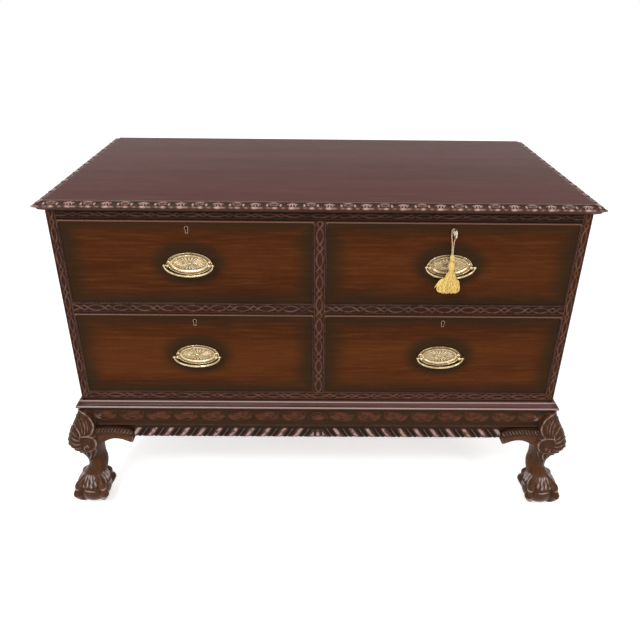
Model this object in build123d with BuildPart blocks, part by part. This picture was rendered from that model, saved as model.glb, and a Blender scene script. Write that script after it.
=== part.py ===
"""A low mahogany chest of four drawers on a carved stand with ball-and-claw feet.

Millimetres. +Z is up, the drawers face -Y, and the origin is on the floor under the middle of the case.
"""

import os
from math import cos, radians, sin, sqrt, tan

from build123d import *

os.makedirs("parts", exist_ok=True)

# Case
CASE_WIDTH = 1200
CASE_DEPTH = 612
TOP_RAIL_HEIGHT = 21
UPPER_OPENING_HEIGHT = 205.5
MIDDLE_RAIL_HEIGHT = 27
LOWER_OPENING_HEIGHT = 222
BOTTOM_RAIL_HEIGHT = 16.5
SIDE_THICKNESS = 20
CENTRE_STILE_WIDTH = 25
FRAME_BEHIND_FRONT = 1
HOUSING_DEPTH = 5
DUST_BOARD_THICKNESS = 12
KICKER_WIDTH = 20
RUNNER_SETBACK = 20
BACK_BOARD_THICKNESS = 12
BACK_BOARD_COUNT = 4
BACK_BOARD_GAP = 1
BACK_REBATE = 10
STOP_LENGTH = 40
STOP_DEPTH = 20
STOP_HEIGHT = 8
STOP_SPACING = 300
TONGUE_THICKNESS = 8
TONGUE_LENGTH = 6
RAIL_TENON_LENGTH = 12
RAIL_TENON_DEPTH = 8
RAIL_TENON_SHOULDER = 4

# Top board
TOP_THICKNESS = 22
TOP_OVERHANG = 21
TOP_BACK_OVERHANG = 9
# The moulded edge: distance in from its tip, and height above the underside
TOP_EDGE_OUTLINE = ((18, 0), (10, 4.5), (8, 9), (2, 11), (0, 14.4), (3, 18))
TOP_EDGE_WIDTH = 20

# Stand
STAND_HEIGHT = 324
MOULDING_HEIGHT = 28
FRIEZE_HEIGHT = 55
GADROON_HEIGHT = 35
FRIEZE_PROJECTION = 8
GADROON_PROJECTION = 15
GADROON_THICKNESS = 15
# Share of the gadroon's thickness left at its top and bottom edges, and of its height under its widest point
GADROON_TOP_SHARE = 0.4
GADROON_FOOT_SHARE = 0.6
GADROON_WIDEST_SHARE = 0.55
MOULDING_SEAT = 6
MITRE_GAP = 0.2
STAND_RAIL_THICKNESS = 22
POST_SIZE = 50
STAND_TENON_END_COVER = 20
STAND_TENON_THICKNESS = 8
STAND_TENON_SHOULDER = 10
CORNER_BLOCK_LENGTH = 70
CORNER_BLOCK_HEIGHT = 100
# The base moulding: distance out from the case face, and share of the moulding's height
MOULDING_OUTLINE = ((9, 0), (13.5, 0.08), (15.6, 0.2), (14.6, 0.3), (9, 0.42), (6, 0.62), (6.4, 0.72))
MOULDING_BEAD_OUT = 3
MOULDING_BEAD_SHARE = 0.93

# Legs: centre's distance out along the diagonal from the case corner, and radius
KNEE_CAP = (  # first value: share of the apron height
    (0.97, 12.0, 4.7),
    (0.8, 12.3, 10.6),
    (0.62, 12.9, 16.2),
    (0.26, 15.4, 30.8),
)
LEG_CURVE = (  # first value: share of the height between the foot and the apron
    (0.95, 13.5, 39.8),
    (0.72, 1.5, 34.0),
    (0.53, -6.7, 28.2),
    (0.34, -12.0, 25.6),
    (0.15, -8.0, 24.6),
    (0.0, 2.0, 24.0),
)
FOOT_HEIGHT = 74
FOOT_OUT = 11  # along the diagonal, from the case's corner
BALL_RADIUS = 44.5
BALL_CENTRE_HEIGHT = 42
TOE_COUNT = 4
TOE_RADIUS = 8.5
TOE_BEND = 14
TOE_ROUTE = ((10, 86), (42, 62), (49, 38), (34, 17))  # out from the foot's centre, and height
KNUCKLE_RADII = (11.3, 12.6)
CLAW_RADIUS = 8.5
KNEE_BRACKET_PROJECTION = 23
# Bracket outline: distance from the post, and height above the apron's underside
BRACKET_OUTLINE = (
    (0, 34),
    (50, 30),
    (80, 20),
    (82, 8),
    (72, -17),
    (66, -17),
    (46, -7),
    (26, -4),
    (8, -9),
    (0, -16),
)

# Drawers
DRAWER_BACK_GAP = 29
DRAWER_RECESS = 1
DRAWER_SIDE_GAP = 1
DRAWER_TOP_GAP = 1.5
DRAWER_RUNNING_GAP = 0.3
FRONT_THICKNESS = 20
BOX_SIDE_THICKNESS = 10
BOX_SIDE_DROP = 3
BOX_BACK_THICKNESS = 12
BOX_BACK_DROP = 6
BOX_BACK_INSET = 8
BOX_BACK_HOUSING = 4
BOTTOM_THICKNESS = 8
BOTTOM_HEIGHT = 12
FRONT_GROOVE_DEPTH = 6
SIDE_GROOVE_DEPTH = 5
TAIL_LENGTH = 12
TAIL_SHARE = 0.62
TAIL_SLOPE_DEG = 9
TAIL_COUNT = 4
BEAD_THICKNESS = 3.2
BEAD_SEAT = 7
BEAD_PROJECTION = 2
BEAD_ROUND = 1.4

# Handles
PLATE_WIDTH = 102
PLATE_HEIGHT = 54
PLATE_THICKNESS = 1.6
RIM_WIDTH = 2.6
RIM_THICKNESS = 3.4
INNER_OVAL_SIDE_INSET = 8
INNER_OVAL_TOP_INSET = 5.5
INNER_OVAL_BEAD = 2.4
INNER_OVAL_THICKNESS = 4.4
POST_EDGE_INSET = 4.5
POST_RADIUS = 3
POST_BALL_RADIUS = 4.2
BALL_TURN = 90  # lays the ball's poles on its pin hole's axis
PIVOT_DISTANCE = 14
SHANK_RADIUS = 2.5
NUT_RADIUS = 6
NUT_THICKNESS = 4
BRASS_CLEARANCE = 0.06
BAIL_RADIUS = 2.6
BAIL_PIN_RADIUS = 1.8
BAIL_PIN_LENGTH = 8
BAIL_KNOB_RADIUS = 3.3
BAIL_SIDE_GAP = 1
BAIL_PLATE_LAP = 0.5
BAIL_CORNER_SHARE = sqrt(2) - 1  # puts the oval's tangent lines through its eighth points
BAIL_BENDS = (17, 95)

# Locks and key
KEYHOLE_DROP = 18.3
KEYHOLE_CLEARANCE = 0.5
SLOT_CLEARANCE = 0.7
SLOT_END_CLEARANCE = 1.2
ESCUTCHEON_WALL = 1.3
ESCUTCHEON_DEPTH = 3
ESCUTCHEON_PROUD = 0.4
LOCK_WIDTH = 56
LOCK_DROP = 15
LOCK_DEPTH = 12
LOCK_WALL = 1.5
LOCK_CAVITY_HALF = 14
BOLT_WIDTH = 24
BOLT_THICKNESS = 3.4
BOLT_DROP = 9
BOLT_TOP_INSET = 0.5
BOLT_THROW = 8
BOLT_CLEARANCE = 0.2
LOCK_PART_GAP = 0.5
MORTISE_END_GAP = 4
MORTISE_MARGIN = 0.6
KEY_STEM_RADIUS = 3
KEY_BIT_LENGTH = 10
KEY_BIT_WIDTH = 4
KEY_BIT_THICKNESS = 2.6
STUMP_CLEARANCE = 0.4
STUMP_WIDTH = 5
KEY_REACH = 15
KEY_COLLAR_STEP = 1
KEY_COLLAR_LENGTH = 2
KEY_BOW_RADIUS = 11
KEY_BOW_HOLE = 6.5
KEY_BOW_THICKNESS = 3

# Tassel cord, from the key stem: across, out from the drawer face, and above the keyhole's axis
CORD_DIAMETER = 2.2
CORD_ROUTE = (
    (-1.3, 15.6, -52.0),
    (-1.3, 13.5, -40.0),
    (-1.8, 11.2, -27.0),
    (-4.4, 8.6, -12.0),
    (-4.4, 6.5, 4.4),
    (4.4, 6.5, 4.4),
    (4.4, 8.5, -12.5),
    (1.9, 11.0, -26.0),
    (1.3, 13.6, -39.5),
    (1.3, 15.6, -52.0),
)
CORD_STEM_BEND = 4.3
CORD_BEND_SHARE = 0.45  # share of the shorter neighbouring run that each of the cord's bends uses
# Tassel head rings: depth below the keyhole's axis, centre out from the drawer face, half width, half depth
TASSEL_HEAD = (
    (52, 15.7, 3.6, 3.6),
    (58, 16.7, 5.0, 4.6),
    (66, 18.1, 4.2, 4.0),
    (72, 19.2, 6.4, 5.8),
    (79, 20.4, 7.4, 6.6),
    (85, 21.5, 6.4, 5.8),
    (89.5, 22.3, 5.2, 5.0),
)
# Tassel skirt rings: depth as above, gap between the bail's front and the ring's back, half width, half depth
TASSEL_SKIRT = (
    (95, 0.0, 8.4, 6.6),
    (102, 0.4, 11.2, 7.4),
    (108, 0.9, 13.6, 8.0),
    (114, 1.0, 20.5, 9.0),
    (121, 0.6, 24.6, 10.6),
    (129.5, 0.7, 25.4, 12.0),
    (136, 2.8, 22.6, 11.0),
    (139.5, 6.4, 16.5, 8.0),
)

# Worked out from the values above
HALF_WIDTH = CASE_WIDTH / 2
FRONT_Y = -CASE_DEPTH / 2
BACK_Y = CASE_DEPTH / 2
OPENING_INNER = CENTRE_STILE_WIDTH / 2
OPENING_OUTER = HALF_WIDTH - SIDE_THICKNESS
OPENING_WIDTH = OPENING_OUTER - OPENING_INNER
OPENING_CENTRE = (OPENING_INNER + OPENING_OUTER) / 2
FACE_Y = FRONT_Y + DRAWER_RECESS
FRONT_BACK_Y = FACE_Y + FRONT_THICKNESS
FRAME_BACK_Y = FRONT_BACK_Y + FRAME_BEHIND_FRONT
BOARD_BACK_Y = BACK_Y - BACK_BOARD_THICKNESS
LOWER_OPENING_Z = STAND_HEIGHT + BOTTOM_RAIL_HEIGHT
MIDDLE_RAIL_Z = LOWER_OPENING_Z + LOWER_OPENING_HEIGHT
UPPER_OPENING_Z = MIDDLE_RAIL_Z + MIDDLE_RAIL_HEIGHT
TOP_RAIL_Z = UPPER_OPENING_Z + UPPER_OPENING_HEIGHT
CASE_TOP_Z = TOP_RAIL_Z + TOP_RAIL_HEIGHT
APRON_HEIGHT = FRIEZE_HEIGHT + GADROON_HEIGHT
MOULDING_Z = STAND_HEIGHT - MOULDING_HEIGHT
GADROON_TOP_Z = MOULDING_Z - FRIEZE_HEIGHT
APRON_Z = GADROON_TOP_Z - GADROON_HEIGHT
STAND_HALF_WIDTH = HALF_WIDTH + FRIEZE_PROJECTION
STAND_HALF_DEPTH = CASE_DEPTH / 2 + FRIEZE_PROJECTION
STAND_TENON_LENGTH = POST_SIZE - STAND_TENON_END_COVER
POST_INNER_X = STAND_HALF_WIDTH - POST_SIZE
POST_INNER_Y = STAND_HALF_DEPTH - POST_SIZE
KNEE_BRACKET_LENGTH = max(along for along, _ in BRACKET_OUTLINE)
LOCK_Y = FRONT_BACK_Y - LOCK_DEPTH
BOLT_Y = FRONT_BACK_Y - LOCK_WALL - LOCK_PART_GAP - BOLT_THICKNESS

INNER_OVAL_WIDTH = PLATE_WIDTH - 2 * INNER_OVAL_SIDE_INSET
INNER_OVAL_HEIGHT = PLATE_HEIGHT - 2 * INNER_OVAL_TOP_INSET
POST_SPACING = PLATE_WIDTH - 2 * POST_EDGE_INSET
BAIL_HALF_SPAN = POST_SPACING / 2 + POST_BALL_RADIUS + BAIL_SIDE_GAP + BAIL_KNOB_RADIUS
BAIL_DROP = PLATE_HEIGHT / 2 - BAIL_PLATE_LAP
BAIL_SHOULDER_DROP = BAIL_CORNER_SHARE * BAIL_DROP
BAIL_FOOT_HALF = BAIL_CORNER_SHARE * BAIL_HALF_SPAN
BAIL_FRONT = PIVOT_DISTANCE + BAIL_RADIUS
KEYHOLE_RADIUS = KEY_STEM_RADIUS + KEYHOLE_CLEARANCE
KEYHOLE_SLOT_WIDTH = KEY_BIT_THICKNESS + 2 * SLOT_CLEARANCE
KEYHOLE_SLOT_LENGTH = KEY_BIT_LENGTH + SLOT_END_CLEARANCE
STUMP_RISE = KEY_STEM_RADIUS + STUMP_CLEARANCE
MORTISE_DEPTH = BOLT_THROW - BOLT_TOP_INSET - DRAWER_TOP_GAP + MORTISE_END_GAP

COLUMNS = {"left": -1, "right": 1}
ROWS = {
    "upper": (UPPER_OPENING_Z, UPPER_OPENING_HEIGHT),
    "lower": (LOWER_OPENING_Z, LOWER_OPENING_HEIGHT),
}
# Outward direction of each side of the stand that carries mouldings
FACES = {"front": (0, -1), "left": (-1, 0), "right": (1, 0)}


def write(piece, name):
    """Label a finished piece and write its STEP file."""
    piece.part.label = name
    export_step(piece.part, f"parts/{name}.step")


def block(x, y, z, mode=Mode.ADD):
    """A box between two values on each axis."""
    low = (min(x), min(y), min(z))
    high = (max(x), max(y), max(z))
    with Locations(tuple((a + b) / 2 for a, b in zip(low, high))):
        Box(*[b - a for a, b in zip(low, high)], mode=mode)


def facing(x, y, z):
    """A plane whose normal points out of the front, with local x to the right and local y up."""
    return Plane(origin=(x, y, z), x_dir=(1, 0, 0), z_dir=(0, -1, 0))


def outward(direction):
    """A plane across one side of the case: local x points out from its face, local y up."""
    ox, oy = direction
    return Plane(origin=(ox * HALF_WIDTH, oy * BACK_Y, 0), x_dir=(ox, oy, 0), z_dir=(oy, -ox, 0))


def keyhole(plane, radius, slot_width, slot_length):
    """A round hole with a slot below it."""
    with BuildSketch(plane) as outline:
        Circle(radius)
        with Locations((0, -slot_length / 2)):
            Rectangle(slot_width, slot_length)
    return outline.sketch


def dovetails(x, z, count, mode):
    """Tails that reach forward from the back of a drawer front, between two heights."""
    pitch = (z[1] - z[0]) / count
    wide = pitch * TAIL_SHARE / 2
    narrow = wide - TAIL_LENGTH * tan(radians(TAIL_SLOPE_DEG))
    for number in range(count):
        middle = z[0] + pitch * (number + 0.5)
        with BuildSketch(Plane.YZ.offset(min(x))) as tail:
            with BuildLine():
                Polyline(
                    (FRONT_BACK_Y, middle - narrow),
                    (FRONT_BACK_Y - TAIL_LENGTH, middle - wide),
                    (FRONT_BACK_Y - TAIL_LENGTH, middle + wide),
                    (FRONT_BACK_Y, middle + narrow),
                    close=True,
                )
            make_face()
        extrude(tail.sketch, amount=max(x) - min(x), mode=mode)


def rail_tenons(x, z, mode):
    """Tenons on both ends of a front rail, into the stiles beside it."""
    middle = (FRONT_Y + FRAME_BACK_Y) / 2
    depth = (middle - RAIL_TENON_DEPTH / 2, middle + RAIL_TENON_DEPTH / 2)
    height = (z[0] + RAIL_TENON_SHOULDER, z[1] - RAIL_TENON_SHOULDER)
    for end, way in ((x[0], -1), (x[1], 1)):
        block((end, end + way * RAIL_TENON_LENGTH), depth, height, mode)


def stub_tenons(x, z, mode):
    """Shorter tenons, where two rails meet in one stile."""
    middle = (FRONT_Y + FRAME_BACK_Y) / 2
    depth = (middle - RAIL_TENON_DEPTH / 2, middle + RAIL_TENON_DEPTH / 2)
    height = (z[0] + RAIL_TENON_SHOULDER, z[1] - RAIL_TENON_SHOULDER)
    inner, outer = min(x, key=abs), max(x, key=abs)
    way = 1 if outer > 0 else -1
    block((outer, outer + way * RAIL_TENON_LENGTH), depth, height, mode)
    block((inner, inner - way * HOUSING_DEPTH), depth, height, mode)


def stand_tenon(sx, sy, along_x, mode):
    """The tenon of a stand rail in the post at one corner."""
    z = (APRON_Z + STAND_TENON_SHOULDER, MOULDING_Z - STAND_TENON_SHOULDER)
    middle = STAND_RAIL_THICKNESS / 2
    across = (middle - STAND_TENON_THICKNESS / 2, middle + STAND_TENON_THICKNESS / 2)
    if along_x:
        x = (sx * POST_INNER_X, sx * (POST_INNER_X + STAND_TENON_LENGTH))
        y = [sy * (STAND_HALF_DEPTH - a) for a in across]
    else:
        x = [sx * (STAND_HALF_WIDTH - a) for a in across]
        y = (sy * POST_INNER_Y, sy * (POST_INNER_Y + STAND_TENON_LENGTH))
    block(x, y, z, mode)


def lock_mortise(sx, z):
    """The pocket over a drawer's lock that its bolt enters."""
    half = BOLT_WIDTH / 2 + MORTISE_MARGIN
    x = (sx * OPENING_CENTRE - half, sx * OPENING_CENTRE + half)
    y = (BOLT_Y - MORTISE_MARGIN, BOLT_Y + BOLT_THICKNESS + MORTISE_MARGIN)
    block(x, y, (z, z + MORTISE_DEPTH), Mode.SUBTRACT)


# ---------------------------------------------------------------- case
with BuildPart() as top_board:
    half = HALF_WIDTH + TOP_OVERHANG
    edge = (*TOP_EDGE_OUTLINE, (TOP_EDGE_WIDTH, TOP_THICKNESS))
    front_tip = FRONT_Y - TOP_OVERHANG
    with BuildSketch(Plane.YZ):
        with BuildLine():
            Polyline(
                *[(front_tip + inset, CASE_TOP_Z + rise) for inset, rise in edge],
                (BACK_Y + TOP_BACK_OVERHANG, CASE_TOP_Z + TOP_THICKNESS),
                (BACK_Y + TOP_BACK_OVERHANG, CASE_TOP_Z),
                close=True,
            )
        make_face()
    extrude(amount=half, both=True)
    with BuildSketch(Plane.XZ):
        with BuildLine():
            Polyline(
                *[(inset - half, CASE_TOP_Z + rise) for inset, rise in edge],
                *[(half - inset, CASE_TOP_Z + rise) for inset, rise in reversed(edge)],
                close=True,
            )
        make_face()
    extrude(amount=CASE_DEPTH, both=True, mode=Mode.INTERSECT)
write(top_board, "top_board")

for name, sx in COLUMNS.items():
    with BuildPart() as case_side:
        inner = sx * OPENING_OUTER
        block((inner, sx * HALF_WIDTH), (FRAME_BACK_Y, BACK_Y), (STAND_HEIGHT, CASE_TOP_Z))
        tongue_x = sx * (HALF_WIDTH - SIDE_THICKNESS / 2)
        block(
            (tongue_x - TONGUE_THICKNESS / 2, tongue_x + TONGUE_THICKNESS / 2),
            (FRAME_BACK_Y - TONGUE_LENGTH, FRAME_BACK_Y),
            (STAND_HEIGHT, CASE_TOP_Z),
        )
        block(
            (inner, inner + sx * BACK_REBATE),
            (BOARD_BACK_Y, BACK_Y),
            (STAND_HEIGHT, CASE_TOP_Z),
            Mode.SUBTRACT,
        )
        housed = (inner, inner + sx * HOUSING_DEPTH)
        block(housed, (FRAME_BACK_Y, BOARD_BACK_Y), (STAND_HEIGHT, LOWER_OPENING_Z), Mode.SUBTRACT)
        block(
            housed,
            (FRAME_BACK_Y, BOARD_BACK_Y),
            (UPPER_OPENING_Z - DUST_BOARD_THICKNESS, UPPER_OPENING_Z),
            Mode.SUBTRACT,
        )
    write(case_side, f"case_{name}_side")

with BuildPart() as outer_stiles:
    for sx in COLUMNS.values():
        x = (sx * OPENING_OUTER, sx * HALF_WIDTH)
        block(x, (FRONT_Y, FRAME_BACK_Y), (STAND_HEIGHT, CASE_TOP_Z))
        tongue_x = sx * (HALF_WIDTH - SIDE_THICKNESS / 2)
        block(
            (tongue_x - TONGUE_THICKNESS / 2, tongue_x + TONGUE_THICKNESS / 2),
            (FRAME_BACK_Y - TONGUE_LENGTH, FRAME_BACK_Y),
            (STAND_HEIGHT, CASE_TOP_Z),
            Mode.SUBTRACT,
        )
    full = (-OPENING_OUTER, OPENING_OUTER)
    rail_tenons(full, (TOP_RAIL_Z, CASE_TOP_Z), Mode.SUBTRACT)
    rail_tenons(full, (MIDDLE_RAIL_Z, UPPER_OPENING_Z), Mode.SUBTRACT)
    rail_tenons(full, (STAND_HEIGHT, LOWER_OPENING_Z), Mode.SUBTRACT)
write(outer_stiles, "outer_stiles")

with BuildPart() as centre_stile:
    block((-OPENING_INNER, OPENING_INNER), (FRONT_Y, FRAME_BACK_Y), (LOWER_OPENING_Z, TOP_RAIL_Z))
    for sx in COLUMNS.values():
        span = (sx * OPENING_INNER, sx * OPENING_OUTER)
        stub_tenons(span, (MIDDLE_RAIL_Z, UPPER_OPENING_Z), Mode.SUBTRACT)
write(centre_stile, "centre_stile")

with BuildPart() as top_rail:
    full = (-OPENING_OUTER, OPENING_OUTER)
    block(full, (FRONT_Y, FRAME_BACK_Y), (TOP_RAIL_Z, CASE_TOP_Z))
    rail_tenons(full, (TOP_RAIL_Z, CASE_TOP_Z), Mode.ADD)
    for sx in COLUMNS.values():
        lock_mortise(sx, TOP_RAIL_Z)
write(top_rail, "top_rail")

with BuildPart() as middle_rails:
    for sx in COLUMNS.values():
        span = (sx * OPENING_INNER, sx * OPENING_OUTER)
        block(span, (FRONT_Y, FRAME_BACK_Y), (MIDDLE_RAIL_Z, UPPER_OPENING_Z))
        stub_tenons(span, (MIDDLE_RAIL_Z, UPPER_OPENING_Z), Mode.ADD)
        lock_mortise(sx, MIDDLE_RAIL_Z)
write(middle_rails, "middle_rails")

with BuildPart() as bottom_rail:
    full = (-OPENING_OUTER, OPENING_OUTER)
    block(full, (FRONT_Y, FRAME_BACK_Y), (STAND_HEIGHT, LOWER_OPENING_Z))
    rail_tenons(full, (STAND_HEIGHT, LOWER_OPENING_Z), Mode.ADD)
write(bottom_rail, "bottom_rail")

with BuildPart() as case_bottom:
    half = OPENING_OUTER + HOUSING_DEPTH
    block((-half, half), (FRAME_BACK_Y, BOARD_BACK_Y), (STAND_HEIGHT, LOWER_OPENING_Z))
write(case_bottom, "case_bottom")

with BuildPart() as centre_partition:
    block(
        (-OPENING_INNER, OPENING_INNER),
        (FRAME_BACK_Y, BOARD_BACK_Y),
        (LOWER_OPENING_Z, CASE_TOP_Z),
    )
    for sx in COLUMNS.values():
        block(
            (sx * (OPENING_INNER - HOUSING_DEPTH), sx * OPENING_INNER),
            (FRAME_BACK_Y, BOARD_BACK_Y),
            (UPPER_OPENING_Z - DUST_BOARD_THICKNESS, UPPER_OPENING_Z),
            Mode.SUBTRACT,
        )
write(centre_partition, "centre_partition")

with BuildPart() as dust_boards:
    for sx in COLUMNS.values():
        block(
            (sx * (OPENING_INNER - HOUSING_DEPTH), sx * (OPENING_OUTER + HOUSING_DEPTH)),
            (FRAME_BACK_Y, BOARD_BACK_Y),
            (UPPER_OPENING_Z - DUST_BOARD_THICKNESS, UPPER_OPENING_Z),
        )
write(dust_boards, "dust_boards")

with BuildPart() as drawer_kickers:
    kicker_y = (FRAME_BACK_Y, BOARD_BACK_Y - RUNNER_SETBACK)
    kicker_heights = (
        (MIDDLE_RAIL_Z, UPPER_OPENING_Z - DUST_BOARD_THICKNESS),
        (TOP_RAIL_Z, CASE_TOP_Z),
    )
    for sx in COLUMNS.values():
        for z in kicker_heights:
            block((sx * OPENING_INNER, sx * (OPENING_INNER + KICKER_WIDTH)), kicker_y, z)
            block((sx * (OPENING_OUTER - KICKER_WIDTH), sx * OPENING_OUTER), kicker_y, z)
write(drawer_kickers, "drawer_kickers")

with BuildPart() as drawer_stops:
    stop_y = FRONT_BACK_Y + DRAWER_RUNNING_GAP
    for sx in COLUMNS.values():
        for bottom, _ in ROWS.values():
            for side in (-1, 1):
                middle = sx * OPENING_CENTRE + side * STOP_SPACING / 2
                block(
                    (middle - STOP_LENGTH / 2, middle + STOP_LENGTH / 2),
                    (stop_y, stop_y + STOP_DEPTH),
                    (bottom, bottom + STOP_HEIGHT),
                )
write(drawer_stops, "drawer_stops")

with BuildPart() as back_boards:
    half = OPENING_OUTER + BACK_REBATE
    pitch = (CASE_TOP_Z - STAND_HEIGHT) / BACK_BOARD_COUNT
    for number in range(BACK_BOARD_COUNT):
        foot = STAND_HEIGHT + number * pitch
        block((-half, half), (BOARD_BACK_Y, BACK_Y), (foot, foot + pitch - BACK_BOARD_GAP))
write(back_boards, "back_boards")

# ---------------------------------------------------------------- stand
moulding_seat_x = HALF_WIDTH - MOULDING_SEAT
moulding_seat_y = CASE_DEPTH / 2 - MOULDING_SEAT

with BuildPart() as stand_front_rail:
    y = (-STAND_HALF_DEPTH, STAND_RAIL_THICKNESS - STAND_HALF_DEPTH)
    x = (-POST_INNER_X, POST_INNER_X)
    block(x, y, (APRON_Z, STAND_HEIGHT))
    block(x, (y[0], -moulding_seat_y), (MOULDING_Z, STAND_HEIGHT), Mode.SUBTRACT)
    gadroon_back = -CASE_DEPTH / 2 - GADROON_PROJECTION + GADROON_THICKNESS
    block(x, (y[0], gadroon_back), (APRON_Z, GADROON_TOP_Z), Mode.SUBTRACT)
    for sx in COLUMNS.values():
        stand_tenon(sx, -1, True, Mode.ADD)
write(stand_front_rail, "stand_front_rail")

with BuildPart() as stand_side_rails:
    y = (-POST_INNER_Y, POST_INNER_Y)
    for sx in COLUMNS.values():
        x = (sx * STAND_HALF_WIDTH, sx * (STAND_HALF_WIDTH - STAND_RAIL_THICKNESS))
        gadroon_inner = sx * (HALF_WIDTH + GADROON_PROJECTION - GADROON_THICKNESS)
        block(x, y, (APRON_Z, STAND_HEIGHT))
        block((x[0], sx * moulding_seat_x), y, (MOULDING_Z, STAND_HEIGHT), Mode.SUBTRACT)
        block((x[0], gadroon_inner), y, (APRON_Z, GADROON_TOP_Z), Mode.SUBTRACT)
        for sy in (-1, 1):
            stand_tenon(sx, sy, False, Mode.ADD)
write(stand_side_rails, "stand_side_rails")

with BuildPart() as stand_back_rail:
    y = (STAND_HALF_DEPTH - STAND_RAIL_THICKNESS, STAND_HALF_DEPTH)
    block((-POST_INNER_X, POST_INNER_X), y, (APRON_Z, STAND_HEIGHT))
    for sx in COLUMNS.values():
        stand_tenon(sx, 1, True, Mode.ADD)
write(stand_back_rail, "stand_back_rail")

with BuildPart() as stand_moulding:
    reach = MOULDING_OUTLINE[2][0]
    for direction in FACES.values():
        ox, oy = direction
        with BuildPart(mode=Mode.PRIVATE) as length:
            with BuildSketch(outward(direction)):
                with BuildLine():
                    Polyline(
                        (-MOULDING_SEAT, STAND_HEIGHT),
                        (-MOULDING_SEAT, MOULDING_Z),
                        *[(out, MOULDING_Z + up * MOULDING_HEIGHT) for out, up in MOULDING_OUTLINE],
                        (MOULDING_BEAD_OUT, MOULDING_Z + MOULDING_BEAD_SHARE * MOULDING_HEIGHT),
                        (0, STAND_HEIGHT),
                        close=True,
                    )
                make_face()
            extrude(amount=CASE_WIDTH, both=True)
            with BuildSketch(Plane.XY.offset(MOULDING_Z)):
                with BuildLine():
                    if oy:
                        inner_x = moulding_seat_x - MITRE_GAP
                        outer_x = HALF_WIDTH + reach - MITRE_GAP
                        outer_y = -(CASE_DEPTH / 2 + reach)
                        Polyline(
                            (-inner_x, -moulding_seat_y),
                            (-outer_x, outer_y),
                            (outer_x, outer_y),
                            (inner_x, -moulding_seat_y),
                            close=True,
                        )
                    else:
                        Polyline(
                            (ox * moulding_seat_x, -moulding_seat_y),
                            (ox * (HALF_WIDTH + reach), -(CASE_DEPTH / 2 + reach)),
                            (ox * (HALF_WIDTH + reach), STAND_HALF_DEPTH),
                            (ox * moulding_seat_x, STAND_HALF_DEPTH),
                            close=True,
                        )
                make_face()
            extrude(amount=MOULDING_HEIGHT, mode=Mode.INTERSECT)
        add(length.part)
write(stand_moulding, "stand_moulding")

with BuildPart() as gadroon_edge:
    back = GADROON_PROJECTION - GADROON_THICKNESS
    top = back + GADROON_THICKNESS * GADROON_TOP_SHARE
    foot = back + GADROON_THICKNESS * GADROON_FOOT_SHARE
    lengths = {"front": POST_INNER_X, "left": POST_INNER_Y, "right": POST_INNER_Y}
    for name, direction in FACES.items():
        with BuildSketch(outward(direction)):
            with BuildLine():
                Polyline((foot, APRON_Z), (back, APRON_Z), (back, GADROON_TOP_Z), (top, GADROON_TOP_Z))
                ThreePointArc(
                    (top, GADROON_TOP_Z),
                    (GADROON_PROJECTION, APRON_Z + GADROON_HEIGHT * GADROON_WIDEST_SHARE),
                    (foot, APRON_Z),
                )
            make_face()
        extrude(amount=lengths[name] - KNEE_BRACKET_LENGTH, both=True)
write(gadroon_edge, "gadroon_edge")

LEG_LENGTH = APRON_Z - FOOT_HEIGHT
for depth_name, sy in {"front": -1, "back": 1}.items():
    for name, sx in COLUMNS.items():
        corner_x, corner_y = sx * HALF_WIDTH, sy * CASE_DEPTH / 2
        foot_x = corner_x + sx * FOOT_OUT / sqrt(2)
        foot_y = corner_y + sy * FOOT_OUT / sqrt(2)
        with BuildPart() as leg:
            block(
                (sx * POST_INNER_X, sx * STAND_HALF_WIDTH),
                (sy * POST_INNER_Y, sy * STAND_HALF_DEPTH),
                (APRON_Z, MOULDING_Z),
            )
            seat_y = moulding_seat_y if sy < 0 else STAND_HALF_DEPTH
            block(
                (sx * POST_INNER_X, sx * moulding_seat_x),
                (sy * POST_INNER_Y, sy * seat_y),
                (MOULDING_Z, STAND_HEIGHT),
            )
            stand_tenon(sx, sy, True, Mode.SUBTRACT)
            stand_tenon(sx, sy, False, Mode.SUBTRACT)
            with BuildPart(mode=Mode.PRIVATE) as curve:
                rings = [(APRON_Z + share * APRON_HEIGHT, out, r) for share, out, r in KNEE_CAP]
                rings += [(FOOT_HEIGHT + share * LEG_LENGTH, out, r) for share, out, r in LEG_CURVE]
                for height, out, radius in rings:
                    middle_x = corner_x + sx * out / sqrt(2)
                    middle_y = corner_y + sy * out / sqrt(2)
                    with BuildSketch(Plane.XY.offset(height)):
                        with Locations((middle_x, middle_y)):
                            Circle(radius)
                loft()
                # The knee wraps the outside of the post only
                block(
                    (sx * POST_INNER_X, sx * STAND_HALF_WIDTH),
                    (sy * POST_INNER_Y, sy * STAND_HALF_DEPTH),
                    (APRON_Z, STAND_HEIGHT),
                    Mode.SUBTRACT,
                )
            add(curve.part)
            with Locations((foot_x, foot_y, BALL_CENTRE_HEIGHT)):
                Sphere(BALL_RADIUS)
            for toe in range(TOE_COUNT):
                heading = radians(360 / TOE_COUNT * (toe + 0.5))
                across = Plane(
                    origin=(foot_x, foot_y, 0),
                    x_dir=(cos(heading), sin(heading), 0),
                    z_dir=(sin(heading), -cos(heading), 0),
                )
                with BuildLine(across) as toe_line:
                    FilletPolyline(*TOE_ROUTE, radius=TOE_BEND)
                with BuildSketch(Plane(origin=toe_line.line @ 0, z_dir=toe_line.line % 0)):
                    Circle(TOE_RADIUS)
                sweep()
                joints = [across.from_local_coords((out, up, 0)) for out, up in TOE_ROUTE]
                for place, radius in zip(joints[1:3], KNUCKLE_RADII):
                    with Locations(place):
                        Sphere(radius)
                with Locations(joints[3]):
                    Sphere(CLAW_RADIUS)
            reach = BALL_RADIUS * 2
            block(
                (foot_x - reach, foot_x + reach),
                (foot_y - reach, foot_y + reach),
                (-reach, 0),
                Mode.SUBTRACT,
            )
        write(leg, f"{depth_name}_{name}_leg")

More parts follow.
